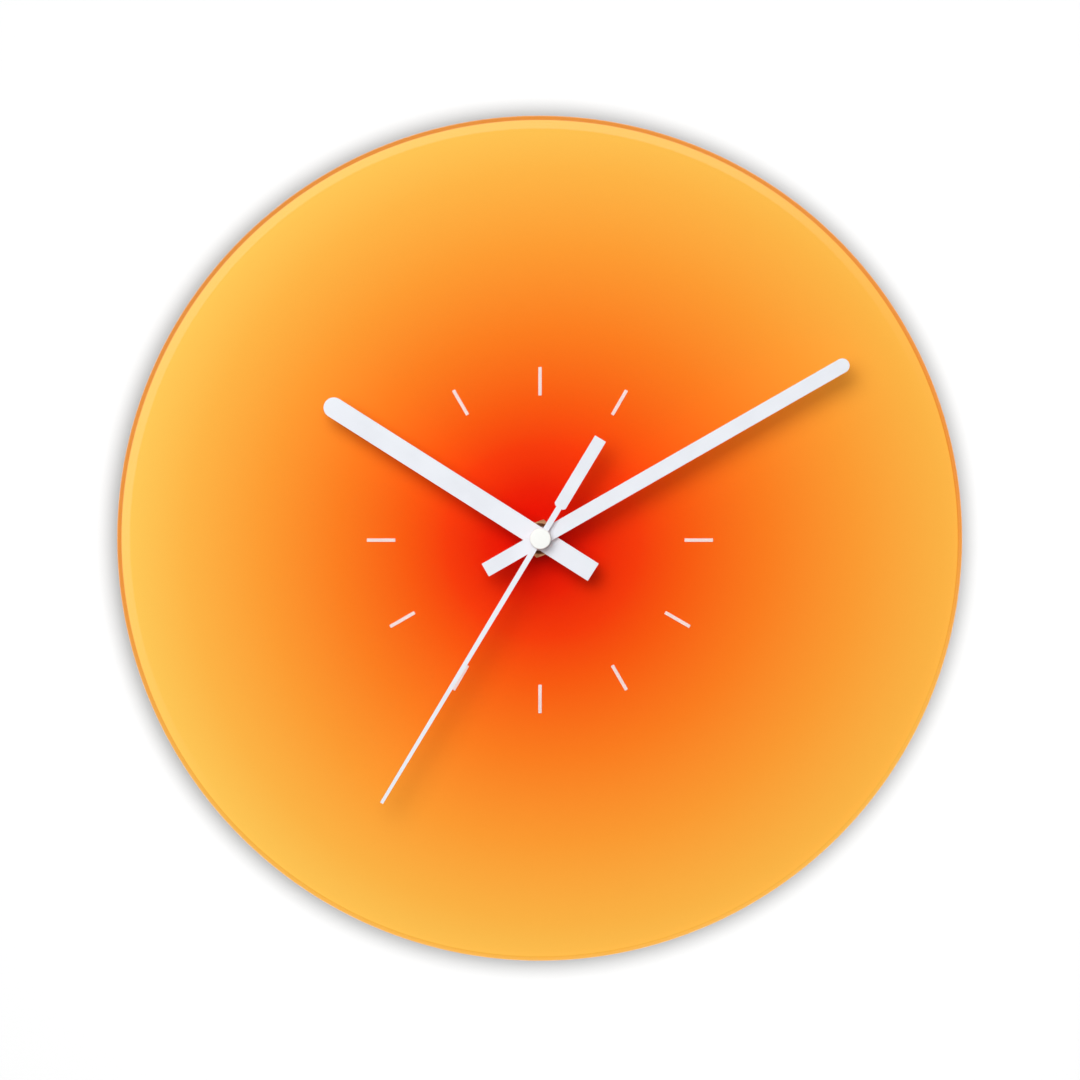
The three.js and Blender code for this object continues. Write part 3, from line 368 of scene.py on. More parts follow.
plasticValues = {"cloud": 9 * mm, "fade": (0.4, 0.8), "grainRough": 0.6, "grainShare": 0.12}


def makePlastic(name, colour, dusty, roughness, grainSize=0.25 * mm, grainDepth=0.012 * mm):
    # moulded plastic with a spark-eroded grain
    finish = newFinish(name)
    grain = finish.noise(grainSize, 3, plasticValues["grainRough"])
    cloud = finish.noise(plasticValues["cloud"], 3)
    surface = finish.shader(
        Base_Color=finish.mix(cloud.step(*plasticValues["fade"]), colour, dusty),
        Roughness=roughness + grain * plasticValues["grainShare"],
        Normal=finish.bump(grain, grainDepth),
    )
    return finish.end(surface)


windingValues = {
    "pitch": 0.16 * mm,
    # painted shade: the dark groove tone between the turns
    "groove": srgb(120, 52, 24),
    "crest": srgb(214, 120, 66),
    "metal": 0.8,
    "roughness": 0.35,
    "depth": 0.03 * mm,
}


def makeWinding():
    # enamelled wire, wound along X, with painted shade in the grooves between the turns
    finish = newFinish("copperWinding")
    x, _, _ = finish.place()
    turn = waves(x, windingValues["pitch"])
    surface = finish.shader(
        Base_Color=finish.mix(turn * 0.5 + 0.5, windingValues["groove"], windingValues["crest"]),
        Metallic=windingValues["metal"],
        Roughness=windingValues["roughness"],
        Normal=finish.bump(turn, windingValues["depth"]),
    )
    return finish.end(surface)


boardValues = {
    "mask": srgb(24, 74, 42),
    "copper": srgb(52, 118, 66),
    "trackPitch": 1.1 * mm,
    "trackEdge": (0.1, 0.25),
    "wander": 4 * mm,
    "wanderShare": 1.6,
    "gapPitch": 9 * mm,
    "gapLevel": -0.8,
    "roughness": 0.4,
    "coat": 0.3,
    "depth": 0.03 * mm,
}


def makeBoard():
    # green mask over copper tracks that run along the board
    finish = newFinish("boardMask")
    x, _, z = finish.place()
    share = boardValues["wanderShare"]
    wander = finish.noise(boardValues["wander"]) * share - share / 2
    track = (waves(z, boardValues["trackPitch"]) + wander).step(*boardValues["trackEdge"])
    track = track * (waves(x, boardValues["gapPitch"]) > boardValues["gapLevel"])
    surface = finish.shader(
        Base_Color=finish.mix(track, boardValues["mask"], boardValues["copper"]),
        Roughness=boardValues["roughness"],
        Coat_Weight=boardValues["coat"],
        Normal=finish.bump(track, boardValues["depth"]),
    )
    return finish.end(surface)


sleeveValues = {
    "body": srgb(38, 82, 112),
    "band": srgb(206, 210, 212),
    "bandStart": 12.5 * mm,
    "bandEnd": 13.4 * mm,
    "blur": 0.1 * mm,
    "cap": srgb(176, 182, 186),
    "capMetal": 0.6,
    "ripple": 2.5 * mm,
    "rippleShare": 0.1,
    "rippleDepth": 0.02 * mm,
    "roughness": 0.25,
    "coat": 0.5,
}


def makeSleeve():
    # plain shrink sleeve: blue body, silver towards the plus end
    finish = newFinish("batterySleevePrint")
    x, _, _ = finish.place()
    values = sleeveValues
    line, silver = [x.step(values[edge], values[edge] + values["blur"]) for edge in ("bandStart", "bandEnd")]
    tone = finish.mix(line, values["body"], values["band"])
    ripple = finish.noise(values["ripple"], 2)
    surface = finish.shader(
        Base_Color=finish.mix(silver, tone, values["cap"]),
        Roughness=values["roughness"] + ripple * values["rippleShare"],
        Metallic=silver * values["capMetal"],
        Coat_Weight=values["coat"],
        Normal=finish.bump(ripple, values["rippleDepth"]),
    )
    return finish.end(surface)


printInk = makePrintInk()
edgeInkPaintedShade = makeEdgeInkPaintedShade()
lacquer = makeLacquer()
clearGlass = makeGlass()
markInk = makePaint(
    "markInk", srgb(245, 219, 214), srgb(238, 210, 206),
    roughness=0.5, peelSize=0.3 * mm, peelDepth=0.004 * mm)
handPaint = makePaint(
    "handPaint", srgb(232, 235, 241), srgb(227, 230, 236),
    roughness=0.38, peelSize=0.4 * mm, peelDepth=0.008 * mm)
capWhite = makePaint(
    "capWhite", srgb(246, 247, 243), srgb(243, 244, 240),
    roughness=0.3, peelSize=0.5 * mm, peelDepth=0.003 * mm)
nutBrass = makeMetal(
    "nutBrass", srgb(236, 182, 132), srgb(204, 144, 98), roughness=0.3, ringPitch=0.22 * mm)
nickel = makeMetal("nickel", srgb(196, 197, 200), srgb(168, 168, 172), roughness=0.25)
zincPlate = makeMetal(
    "zincPlate", srgb(196, 188, 184), srgb(158, 148, 144), roughness=0.32, ringPitch=0.2 * mm)
ferrite = makePlastic("ferrite", srgb(52, 53, 56), srgb(66, 66, 70), roughness=0.5)
washerRubber = makePlastic(
    "washerRubber", srgb(26, 26, 27), srgb(38, 38, 38),
    roughness=0.75, grainSize=0.2 * mm, grainDepth=0.02 * mm)
blackPlastic = makePlastic("blackPlastic", srgb(24, 24, 26), srgb(32, 32, 34), roughness=0.42)
greyPlastic = makePlastic("greyPlastic", srgb(118, 121, 125), srgb(128, 130, 134), roughness=0.42)
whitePlastic = makePlastic("whitePlastic", srgb(226, 226, 220), srgb(214, 213, 206), roughness=0.4)
winding = makeWinding()
boardMask = makeBoard()
sleevePrint = makeSleeve()
print("finishes made")


# Mesh tools

def outlineFace(bm, points):
    # one flat face in the plane of the wall, from x and z pairs
    return bm.faces.new([bm.verts.new((x, 0, z)) for x, z in points])


def thicken(bm, back, front):
    # makes a slab of the flat faces, between two distances from the wall
    bmesh.ops.translate(bm, verts=bm.verts, vec=(0, -back, 0))
    grown = bmesh.ops.extrude_face_region(bm, geom=bm.faces[:])
    moved = [item for item in grown["geom"] if isinstance(item, bmesh.types.BMVert)]
    bmesh.ops.translate(bm, verts=moved, vec=(0, back - front, 0))
    bmesh.ops.recalc_face_normals(bm, faces=bm.faces)


def around(centre, radius, degrees):
    # a point on a circle, anticlockwise from three o'clock
    angle = math.radians(degrees)
    return (centre[0] + radius * math.cos(angle), centre[1] + radius * math.sin(angle))


def arc(radius, centre, start, sweep, count):
    # points round part of a circle, its ends included
    return [around(centre, radius, start + sweep * i / (count - 1)) for i in range(count)]


def slab(points, back, front):
    bm = bmesh.new()
    outlineFace(bm, points)
    thicken(bm, back, front)
    return bm


def roundCorners(bm, corners, radius, segments=roundSegments):
    bmesh.ops.bevel(
        bm, geom=corners, offset=radius, offset_type="OFFSET", segments=segments,
        profile=0.5, affect="VERTICES", material=-1,
    )


def bevelEdges(bm, edges, width):
    bmesh.ops.bevel(
        bm, geom=edges, offset=width, offset_type="OFFSET", segments=roundSegments,
        profile=0.5, affect="EDGES", clamp_overlap=True, material=-1,
    )


def rimEdges(bm, distance):
    # edges round the flat face at this distance from the wall
    flat = [edge for edge in bm.edges if all(abs(vert.co.y + distance) < rimSlack for vert in edge.verts)]
    return [edge for edge in flat if edge.calc_face_angle(0) > rimAngle]


def turned(profile, steps, closed=True, axis=(0, 0)):
    # spins radius and distance pairs round a line that runs towards the wall
    bm = bmesh.new()
    verts = [bm.verts.new((radius, -distance, 0)) for radius, distance in profile]
    edges = [bm.edges.new(pair) for pair in zip(verts, verts[1:])]
    if closed:
        edges.append(bm.edges.new((verts[-1], verts[0])))
    bmesh.ops.spin(
        bm, geom=verts + edges, cent=(0, 0, 0), axis=(0, 1, 0), angle=2 * math.pi,
        steps=steps, use_merge=True, use_duplicate=False,
    )
    bmesh.ops.remove_doubles(bm, verts=bm.verts, dist=mergeDistance)
    bmesh.ops.translate(bm, verts=bm.verts, vec=(axis[0], 0, axis[1]))
    bmesh.ops.recalc_face_normals(bm, faces=bm.faces)
    return bm


def roundedProfile(points, radius, segments=3):
    # a copy of a turned profile, with the corners rounded whose third value is True
    made = []
    for index, (r, d, soft) in enumerate(points):
        if not soft:
            made.append((r, d))
            continue
        here = Vector((r, d))
        before = Vector(points[index - 1][:2])
        after = Vector(points[(index + 1) % len(points)][:2])
        start = here + (before - here).normalized() * radius
        end = here + (after - here).normalized() * radius
        for step in range(segments + 1):
            share = step / segments
            spot = start * (1 - share) ** 2 + here * 2 * share * (1 - share) + end * share ** 2
            made.append((spot.x, spot.y))
    return made


def cylinder(radius, back, front, steps=48, axis=(0, 0)):
    return turned([(0, back), (radius, back), (radius, front), (0, front)], steps, False, axis)


def block(low, high):
    # a block between two corners, given as x, distance and z
    bm = bmesh.new()
    bmesh.ops.create_cube(bm, size=1)
    size = [b - a for a, b in zip(low, high)]
    centre = [(a + b) / 2 for a, b in zip(low, high)]
    bmesh.ops.scale(bm, verts=bm.verts, vec=size)
    bmesh.ops.translate(bm, verts=bm.verts, vec=(centre[0], -centre[1], centre[2]))
    return bm


def meshObject(name, bm):
    bmesh.ops.remove_doubles(bm, verts=bm.verts, dist=mergeDistance)
    bmesh.ops.recalc_face_normals(bm, faces=bm.faces)
    mesh = bpy.data.meshes.new(name)
    bm.to_mesh(mesh)
    bm.free()
    made = bpy.data.objects.new(name, mesh)
    bpy.context.collection.objects.link(made)
    return made


def carve(base, tools):
    # cuts, joins or trims a bmesh with others, one after another, and gives the result back
    body = meshObject("carved", base)
    helpers = []
    for operation, tool in tools:
        helper = meshObject("tool", tool)
        helpers.append(helper)
        cut = body.modifiers.new("cut", "BOOLEAN")
        cut.operation = operation
        cut.solver = "EXACT"
        cut.object = helper
    shaped = body.evaluated_get(bpy.context.evaluated_depsgraph_get())
    bm = bmesh.new()
    bm.from_mesh(shaped.to_mesh())
    for done in [body, *helpers]:
        bpy.data.objects.remove(done)
    return bm


def finishPiece(name, bm, materials, body, nodes, bevel=0.0):
    # makes the piece smooth, gives it its finish, ties it to its body and hides the CAD nodes it stands for
    piece = meshObject(name, bm)
    for material in materials:
        piece.data.materials.append(material)
    piece.data.shade_smooth()
    piece.data.set_sharp_from_angle(angle=smoothAngle)
    if bevel:
        edge = piece.modifiers.new("edge", "BEVEL")
        edge.width = bevel
        edge.segments = roundSegments
        edge.limit_method = "ANGLE"
        edge.angle_limit = smoothAngle
        edge.harden_normals = True
    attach(piece, body)
    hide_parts(*nodes)
    return piece


def turnFromTwelve(bm, degrees):
    # clockwise, as seen from the front
    turn = Matrix.Rotation(math.radians(degrees), 4, "Y")
    bmesh.ops.transform(bm, matrix=turn, verts=bm.verts)


# Glass, ink and marks

paneValues = {
    "steps": 288,
    "edgeRound": 1.7 * mm,
    "edgeSteps": 8,
    "bevelWidth": 3.2 * mm,
    "bevelDrop": 0.3 * mm,
    "bevelSteps": 8,
    "bevelCurve": 1.5,
    "flatRing": 0.4 * mm,       # keeps the flat glass inside the bevel flat when it is smoothed
    "inkGap": 0.05 * mm,
    "hole": 4.35 * mm,
    "inkRadius": 148.3 * mm,
    "inkHole": 5.55 * mm,
}


def makePane():
    back = depth("print_layer") + paneValues["inkGap"]
    front = depth("glass_pane")
    rounding = paneValues["edgeRound"]
    shoulder = dialRadius - rounding
    arcBack = back + rounding
    arcFront = front - paneValues["bevelDrop"] - rounding
    profile = [(paneValues["hole"], back), (paneValues["inkRadius"], back)]
    turns = [math.pi / 2 * i / paneValues["edgeSteps"] for i in range(paneValues["edgeSteps"] + 1)]
    profile += [(shoulder + rounding * math.sin(a), arcBack - rounding * math.cos(a)) for a in turns]
    profile += [(shoulder + rounding * math.cos(a), arcFront + rounding * math.sin(a)) for a in turns]
    wide, drop = paneValues["bevelWidth"], paneValues["bevelDrop"]
    shares = [(i + 1) / paneValues["bevelSteps"] for i in range(paneValues["bevelSteps"])]
    profile += [
        (shoulder - wide * share, front - drop * (1 - share) ** paneValues["bevelCurve"]) for share in shares]
    profile.append((shoulder - wide - paneValues["flatRing"], front))
    profile.append((paneValues["hole"], front))
    bm = turned(profile, paneValues["steps"])
    for face in bm.faces:
        centre = face.calc_center_median()
        radius = math.hypot(centre.x, centre.z)
        if -centre.y < arcBack and radius > paneValues["inkRadius"]:
            face.material_index = 2
        elif abs(centre.y + back) < paneValues["inkGap"]:
            face.material_index = 1
    finishPiece("glassPane", bm, [clearGlass, printInk, edgeInkPaintedShade], "clock_body", ["glass_pane"])


def makeInkSheet():
    back, front = depth("print_layer", False), depth("print_layer")
    inner, outer = paneValues["inkHole"], paneValues["inkRadius"]
    bm = turned([(inner, back), (outer, back), (outer, front), (inner, front)], paneValues["steps"])
    for face in bm.faces:
        face.material_index = 1 if face.calc_center_median().y > -(back + front) / 2 else 0
    finishPiece("printedInk", bm, [printInk, lacquer], "clock_body", ["print_layer"])


markValues = {"count": 12, "round": 0.15 * mm}


def makeMarks():
    # short bars, in a ring whose centre sits a little below the hand axis
    twelve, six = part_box("hour_mark_12"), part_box("hour_mark_06")
    half = (twelve[1].x - twelve[0].x) / 2
    ringHeight = (twelve[1].z + six[0].z) / 2
    inner, outer = twelve[0].z - ringHeight, twelve[1].z - ringHeight
    for index in range(1, markValues["count"] + 1):
        node = f"hour_mark_{index:02d}"
        bm = bmesh.new()
        outlineFace(bm, [(-half, inner), (half, inner), (half, outer), (-half, outer)])
        roundCorners(bm, bm.verts[:], markValues["round"])
        thicken(bm, depth(node, False), depth(node))
        turnFromTwelve(bm, 360 * index / markValues["count"])
        bmesh.ops.translate(bm, verts=bm.verts, vec=(0, 0, ringHeight))
        finishPiece(f"hourMark{index:02d}", bm, [markInk], "clock_body", [node])


makePane()
makeInkSheet()
makeMarks()
print("glass, ink and marks made")


# Hands

handValues = {
    "hour": {"length": 90.0 * mm, "tail": 22.2 * mm, "width": 7.24 * mm, "angle": 302.4, "hole": 2.45 * mm},
    "minute": {"length": 125.5 * mm, "tail": 22.4 * mm, "width": 5.15 * mm, "angle": 60.2, "hole": 1.8 * mm},
    "tipShare": 0.999,          # of half the width, so that the tip's two corners don't meet
    "tipSegments": 14,
    "edge": 0.07 * mm,
    "tailRound": 0.12 * mm,
}


def keepFlat(piece):
    # a flat face keeps its own normal beside a rolled edge
    flat = piece.modifiers.new("flat", "WEIGHTED_NORMAL")
    flat.keep_sharp = True


def makeHand(kind):
    # straight stamped hand: half-round tip, square tail, edges rolled by the press
    node = f"{kind}_hand"
    values = handValues[kind]
    half, length, tail = values["width"] / 2, values["length"], values["tail"]
    back, front = depth(node, False), depth(node)
    bm = bmesh.new()
    outlineFace(bm, [(-half, -tail), (half, -tail), (half, length), (-half, length)])
    tipCorners = [vert for vert in bm.verts if vert.co.z > 0]
    tailCorners = [vert for vert in bm.verts if vert.co.z < 0]
    roundCorners(bm, tipCorners, half * handValues["tipShare"], handValues["tipSegments"])
    roundCorners(bm, [vert for vert in tailCorners if vert.is_valid], handValues["tailRound"])
    thicken(bm, back, front)
    bm = carve(bm, [("DIFFERENCE", cylinder(values["hole"], back - mm, front + mm))])
    bevelEdges(bm, rimEdges(bm, front), handValues["edge"])
    turnFromTwelve(bm, values["angle"])
    keepFlat(finishPiece(f"{kind}Hand", bm, [handPaint], kind, [node]))


secondValues = {
    "angle": 211.0,
    "length": 108.8 * mm,
    "rootWidth": 2.0 * mm,
    "tipWidth": 1.15 * mm,
    "neckWidth": 2.1 * mm,
    "neckEnd": 12.8 * mm,
    "weightEnd": 41.2 * mm,
    "weightWidth": 4.45 * mm,
    "chamfer": 0.7 * mm,
    "bossRadius": 2.35 * mm,
    "hole": 1.4 * mm,
    "edge": 0.05 * mm,
}


def makeSecondHand():
    values = secondValues
    back, front = depth("second_hand", False), depth("second_hand")
    neck, weight = values["neckWidth"] / 2, values["weightWidth"] / 2
    right = [
        (weight, -values["weightEnd"]),
        (weight, -values["neckEnd"] - values["chamfer"]),
        (weight - values["chamfer"], -values["neckEnd"]),
        (neck, -values["neckEnd"]),
        (neck, -values["bossRadius"]),
        (values["rootWidth"] / 2, 0),
        (values["tipWidth"] / 2, values["length"]),
    ]
    bm = bmesh.new()
    outlineFace(bm, right + [(-x, z) for x, z in reversed(right)])
    thicken(bm, back, front)
    boss = cylinder(values["bossRadius"], back, front)
    hole = cylinder(values["hole"], back - mm, front + mm)
    bm = carve(bm, [("UNION", boss), ("DIFFERENCE", hole)])
    bevelEdges(bm, rimEdges(bm, front), values["edge"])
    turnFromTwelve(bm, values["angle"])
    keepFlat(finishPiece("secondHand", bm, [handPaint], "second", ["second_hand"]))


capValues = {
    "radius": 3.7 * mm,
    "tube": 1.3 * mm,
    "bore": 0.62 * mm,
    "round": 0.45 * mm,
    "roundSteps": 6,
    "steps": 96,
}


def makeCap():
    front, tubeBack = depth("second_cap"), depth("second_cap", False)
    capBack = depth("second_hand")
    seat = (capBack + front) / 2
    radius, tube, bore = capValues["radius"], capValues["tube"], capValues["bore"]
    profile = roundedProfile([
        (0, front, False),
        (radius, front, True),
        (radius, capBack, False),
        (tube, capBack, False),
        (tube, tubeBack, False),
        (bore, tubeBack, False),
        (bore, seat, False),
        (0, seat, False),
    ], capValues["round"], capValues["roundSteps"])
    bm = turned(profile, capValues["steps"], False)
    finishPiece("secondCap", bm, [capWhite], "second", ["second_cap"])


for kind in ("hour", "minute"):
    makeHand(kind)
makeSecondHand()
makeCap()
print("hands made")


# Nut, washers, bush and collet

fixingValues = {
    "acrossFlats": 12 * mm,
    "nutAngle": 10,             # one corner, clockwise from twelve
    "nutChamfer": 0.3 * mm,
    "chamferAngle": 30,
    "mouth": 1.3 * mm,
    "bore": 4.1 * mm,
    "rubberBore": 5.55 * mm,
    "bushRadius": 4.0 * mm,
    "bushBore": 2.75 * mm,
    "threadPitch": 0.75 * mm,
    "threadDepth": 0.35 * mm,
    "threadStart": 0.25,        # of a pitch
    "chamferShort": 0.2 * mm,
    "chamferLong": 0.25 * mm,
    "shoulder": 5.2 * mm,
    "steps": 96,
    "edge": 0.1 * mm,
    "rubberEdge": 0.25 * mm,
    "colletEdge": 0.15 * mm,
}


def makeNut():
    back, front = depth("fixing_nut", False), depth("fixing_nut")
    values = fixingValues
    flat = values["acrossFlats"] / 2
    corner = flat / math.cos(math.pi / 6)
    bm = bmesh.new()
    outlineFace(bm, [around((0, 0), corner, 90 + 60 * index) for index in range(6)])
    thicken(bm, back, front)
    face = flat - values["nutChamfer"]
    drop = (corner + mm - face) * math.tan(math.radians(values["chamferAngle"]))
    cone = turned([
        (0, back - mm),
        (corner + mm, back - mm),
        (corner + mm, front - drop),
        (face, front),
        (0, front),
    ], values["steps"], False)
    bore, mouth = values["bore"], values["mouth"]
    hole = turned([
        (0, back - mm),
        (bore, back - mm),
        (bore, front - mouth),
        (bore + mouth + mm, front + mm),
        (0, front + mm),
    ], values["steps"], False)
    bm = carve(bm, [("INTERSECT", cone), ("DIFFERENCE", hole)])
    turnFromTwelve(bm, values["nutAngle"])
    finishPiece("fixingNut", bm, [nutBrass], "clock_body", ["fixing_nut"], values["edge"])


def makeRing(name, node, inner, material, body="clock_body", edge=fixingValues["edge"]):
    back, front = depth(node, False), depth(node)
    outer = reach(node)
    profile = roundedProfile([
        (inner, back, False), (outer, back, True), (outer, front, True), (inner, front, False)], edge)
    bm = turned(profile, fixingValues["steps"])
    finishPiece(name, bm, [material], body, [node])


def makeBush():
    # threaded along its front, with a shoulder behind the ink and a chamfered mouth
    values = fixingValues
    back, front = depth("threaded_bush", False), depth("threaded_bush")
    shoulderBack, shoulderFront = depth("front_case"), depth("rubber_washer")
    outer, bore = values["bushRadius"], values["bushBore"]
    root = outer - values["threadDepth"]
    profile = [
        (bore, back), (outer, back), (outer, shoulderBack), (values["shoulder"], shoulderBack),
        (values["shoulder"], shoulderFront), (root, shoulderFront)]
    pitch = values["threadPitch"]
    turns = int((front - shoulderFront) / pitch) - 1
    for index in range(turns):
        start = shoulderFront + pitch * (index + values["threadStart"])
        profile += [(root, start), (outer, start + pitch / 2)]
    short, long = values["chamferShort"], values["chamferLong"]
    profile += [(root, front - pitch / 2), (root, front - short), (root - long, front)]
    profile += [(bore + short, front), (bore, front - long)]
    bm = turned(profile, values["steps"])
    finishPiece("threadedBush", bm, [zincPlate], "clock_body", ["threaded_bush"])


makeNut()
makeRing("nutWasher", "nut_washer", fixingValues["bore"], nutBrass)
makeRing(
    "rubberWasher", "rubber_washer", fixingValues["rubberBore"], washerRubber,
    edge=fixingValues["rubberEdge"])
makeBush()
makeRing(
    "hourCollet", "hour_collet", handValues["hour"]["hole"], zincPlate, "hour",
    fixingValues["colletEdge"])
print("fixing made")


# Movement case, cover and knob

caseValues = {
    "half": 28 * mm,
    "corner": 4 * mm,
    "cornerSegments": 10,
    "wall": 1.2 * mm,
    "seam": 1.3 * mm,           # where the front case starts, from the back of the cover
    "divider": 1.0 * mm,
    "bayTop": -12.4 * mm,
    "bushHole": 4.1 * mm,
    "catchHalf": 3.2 * mm,
    "catchHeight": 12 * mm,
    "catchDeep": 0.35 * mm,
    "catchLength": 3 * mm,
    "ring": (12.5 * mm, 13.3 * mm),
    "ringDeep": 0.4 * mm,
    "ringSteps": 96,
    "edge": 0.22 * mm,
}


def roundedSlab(half, corner, back, front):
    bm = bmesh.new()
    outlineFace(bm, [(-half, -half), (half, -half), (half, half), (-half, half)])
    roundCorners(bm, bm.verts[:], corner, caseValues["cornerSegments"])
    thicken(bm, back, front)
    return bm


def makeFrontCase():
    # open at the back, with a wall between the works and the battery's bay
    values = caseValues
    half, wall = values["half"], values["wall"]
    inside = half - wall
    back, front = depth("rear_cover", False) + values["seam"], depth("front_case")
    floor, bayTop = front - wall, values["bayTop"]
    cuts = [
        block((-inside, back - mm, bayTop + values["divider"]), (inside, floor, inside)),
        block((-inside, back - mm, -inside), (inside, floor, bayTop)),
        cylinder(values["bushHole"], front - 2 * wall, front + mm),
    ]
    catch, catchFront = values["catchHalf"], back + values["catchLength"]
    for side in (-1, 1):
        left, right = sorted((side * (half - values["catchDeep"]), side * (half + mm)))
        for z in (-values["catchHeight"], values["catchHeight"]):
            cuts.append(block((left, back - mm, z - catch), (right, catchFront, z + catch)))
    inner, outer = values["ring"]
    foot = front - values["ringDeep"]
    cuts.append(turned(
        [(inner, foot), (outer, foot), (outer, front + mm), (inner, front + mm)], values["ringSteps"]))
    bm = carve(roundedSlab(half, values["corner"], back, front), [("DIFFERENCE", cut) for cut in cuts])
    finishPiece(
        "frontCase", bm, [blackPlastic], "clock_body", ["front_case"], values["edge"])


coverValues = {
    "thickness": 1.2 * mm,
    "hangerThickness": 2.4 * mm,
    "hangerHalf": 12 * mm,
    "hangerFoot": 1 * mm,
    "hangerGap": 0.2 * mm,      # between the case and the hanger's thick part
    "eyeHeight": 8 * mm,
    "eyeRadius": 2.6 * mm,
    "eyeFoot": 5 * mm,
    "eyeFootRise": 2 * mm,
    "eyeArc": (20, 140, 15),    # start and sweep in degrees, and the count of points
    "rim": 4 * mm,
    "rimArc": (30, 120, 17),
    "doorHalf": 26.4 * mm,
    "doorTop": -12.6 * mm,
    "wellRadius": 5.5 * mm,
    "wellWall": 0.8 * mm,
    "wellFloor": 3.2 * mm,
    "wellSteps": 72,
    "stemHole": 1.12 * mm,
    "stemSteps": 32,
    "label": ((2 * mm, 4 * mm), (23 * mm, 17 * mm)),
    "labelDepth": 0.25 * mm,
    "engrave": 0.2 * mm,
    "edge": 0.16 * mm,
}


def hangerSlab(foot, front):
    # the hanger's outline, straight up from its foot and round above its eye
    values = coverValues
    half, shoulder = values["hangerHalf"], caseValues["half"] + values["hangerFoot"]
    eye = (0, caseValues["half"] + values["eyeHeight"])
    rim = arc(values["eyeRadius"] + values["rim"], eye, *values["rimArc"])
    return slab([(-half, foot), (half, foot), (half, shoulder), *rim, (-half, shoulder)], 0, front)


def makeRearCover():
    values = coverValues
    top, corner = caseValues["half"], caseValues["corner"]
    thickness, hangerFront = values["thickness"], values["hangerThickness"]
    knob = middle("setting_knob")
    knobAxis = (knob.x, knob.z)
    foot, footTop = values["eyeFoot"], top + values["eyeFootRise"]
    eyeRound = arc(values["eyeRadius"], (0, top + values["eyeHeight"]), *values["eyeArc"])
    well, floor, wall = values["wellRadius"], values["wellFloor"], values["wellWall"]
    door = values["doorHalf"]
    (left, low), (right, high) = values["label"]
    tools = [
        ("UNION", hangerSlab(top - corner, thickness)),
        ("UNION", hangerSlab(top + values["hangerGap"], hangerFront)),
        ("DIFFERENCE", slab([(-foot, footTop), (foot, footTop), *eyeRound], -mm, hangerFront + mm)),
        ("UNION", cylinder(well + wall, 0, floor + wall, values["wellSteps"], knobAxis)),
        ("DIFFERENCE", cylinder(well, -mm, floor, values["wellSteps"], knobAxis)),
        ("DIFFERENCE", cylinder(values["stemHole"], -mm, floor + 2 * wall, values["stemSteps"], knobAxis)),
        ("DIFFERENCE", block((-door, -mm, -door), (door, thickness + mm, values["doorTop"]))),
        ("DIFFERENCE", block((left, -mm, low), (right, values["labelDepth"], high))),
    ]
    tools += [("DIFFERENCE", mark) for mark in setArrows(knobAxis) + polarityMarks()]
    bm = carve(roundedSlab(top, corner, 0, thickness), tools)
    finishPiece(
        "rearCover", bm, [blackPlastic], "clock_body", ["rear_cover"], values["edge"])


arrowValues = {
    # angles in degrees, anticlockwise from three o'clock
    "inner": 7.1 * mm,
    "outer": 7.6 * mm,
    "starts": (35, 215),
    "sweep": 60,
    "points": 13,
    "headFoot": 1,
    "headTip": 14,
    "headWider": 0.6 * mm,
}


def setArrows(axis):
    # two engraved arrows round the setting knob
    values = arrowValues
    inner, outer, wider = values["inner"], values["outer"], values["headWider"]
    cuts = []
    for start in values["starts"]:
        end = start + values["sweep"]
        outside, inside = [
            arc(radius, axis, start, values["sweep"], values["points"]) for radius in (outer, inner)]
        head = [
            around(axis, outer + wider, end + values["headFoot"]),
            around(axis, (inner + outer) / 2, end + values["headTip"]),
            around(axis, inner - wider, end + values["headFoot"]),
        ]
        cuts += [slab(points, -mm, coverValues["engrave"]) for points in (outside + inside[::-1], head)]
    return cuts


polarityValues = {"across": 23 * mm, "rise": 2.4 * mm, "long": 1.1 * mm, "thin": 0.25 * mm}


def polarityMarks():
    # minus and plus beside the ends of the battery
    values = polarityValues
    plus, long, thin = values["across"], values["long"], values["thin"]
    z = coverValues["doorTop"] + values["rise"]
    bars = [(x - long, z - thin, x + long, z + thin) for x in (-plus, plus)]
    bars.append((plus - thin, z - long, plus + thin, z - thin))
    bars.append((plus - thin, z + thin, plus + thin, z + long))
    return [block((left, -mm, low), (right, coverValues["engrave"], high)) for left, low, right, high in bars]


knobValues = {
    "radius": 5 * mm,
    "ridges": 18,
    "ridge": 0.4 * mm,
    "ridgeFoot": 0.3,           # half of a ridge's foot and crest, as shares of a ridge's turn
    "ridgeCrest": 0.15,
    "hole": 0.82 * mm,
    "holeSteps": 24,
    "dish": 0.5 * mm,
    "dishRadius": 3.4 * mm,
    "gripLong": 2.9 * mm,
    "gripThin": 0.5 * mm,
    "edge": 0.12 * mm,
}


def makeKnob():
    values = knobValues
    centre = middle("setting_knob")
    x, z = centre.x, centre.z
    back, front = depth("setting_knob", False), depth("setting_knob")
    crest, root = values["radius"], values["radius"] - values["ridge"]
    foot, top = values["ridgeFoot"], values["ridgeCrest"]
    ridge = ((root, -foot), (crest, -top), (crest, top), (root, foot))
    bm = slab([
        around((0, 0), radius, (index + share) * 360 / values["ridges"])
        for index in range(values["ridges"]) for radius, share in ridge], back, front)
    bmesh.ops.translate(bm, verts=bm.verts, vec=(x, 0, z))
    dish = cylinder(values["dishRadius"], back - mm, back + values["dish"], axis=(x, z))
    stemHole = cylinder(values["hole"], (back + front) / 2, front + mm, values["holeSteps"], (x, z))
    long, thin = values["gripLong"], values["gripThin"]
    bar = block((x - long, back, z - thin), (x + long, back + mm, z + thin))
    bm = carve(bm, [("DIFFERENCE", dish), ("UNION", bar), ("DIFFERENCE", stemHole)])
    finishPiece("settingKnob", bm, [greyPlastic], "setting", ["setting_knob"], values["edge"])


makeFrontCase()
makeRearCover()
makeKnob()
print("case made")


# Battery, which lies along X

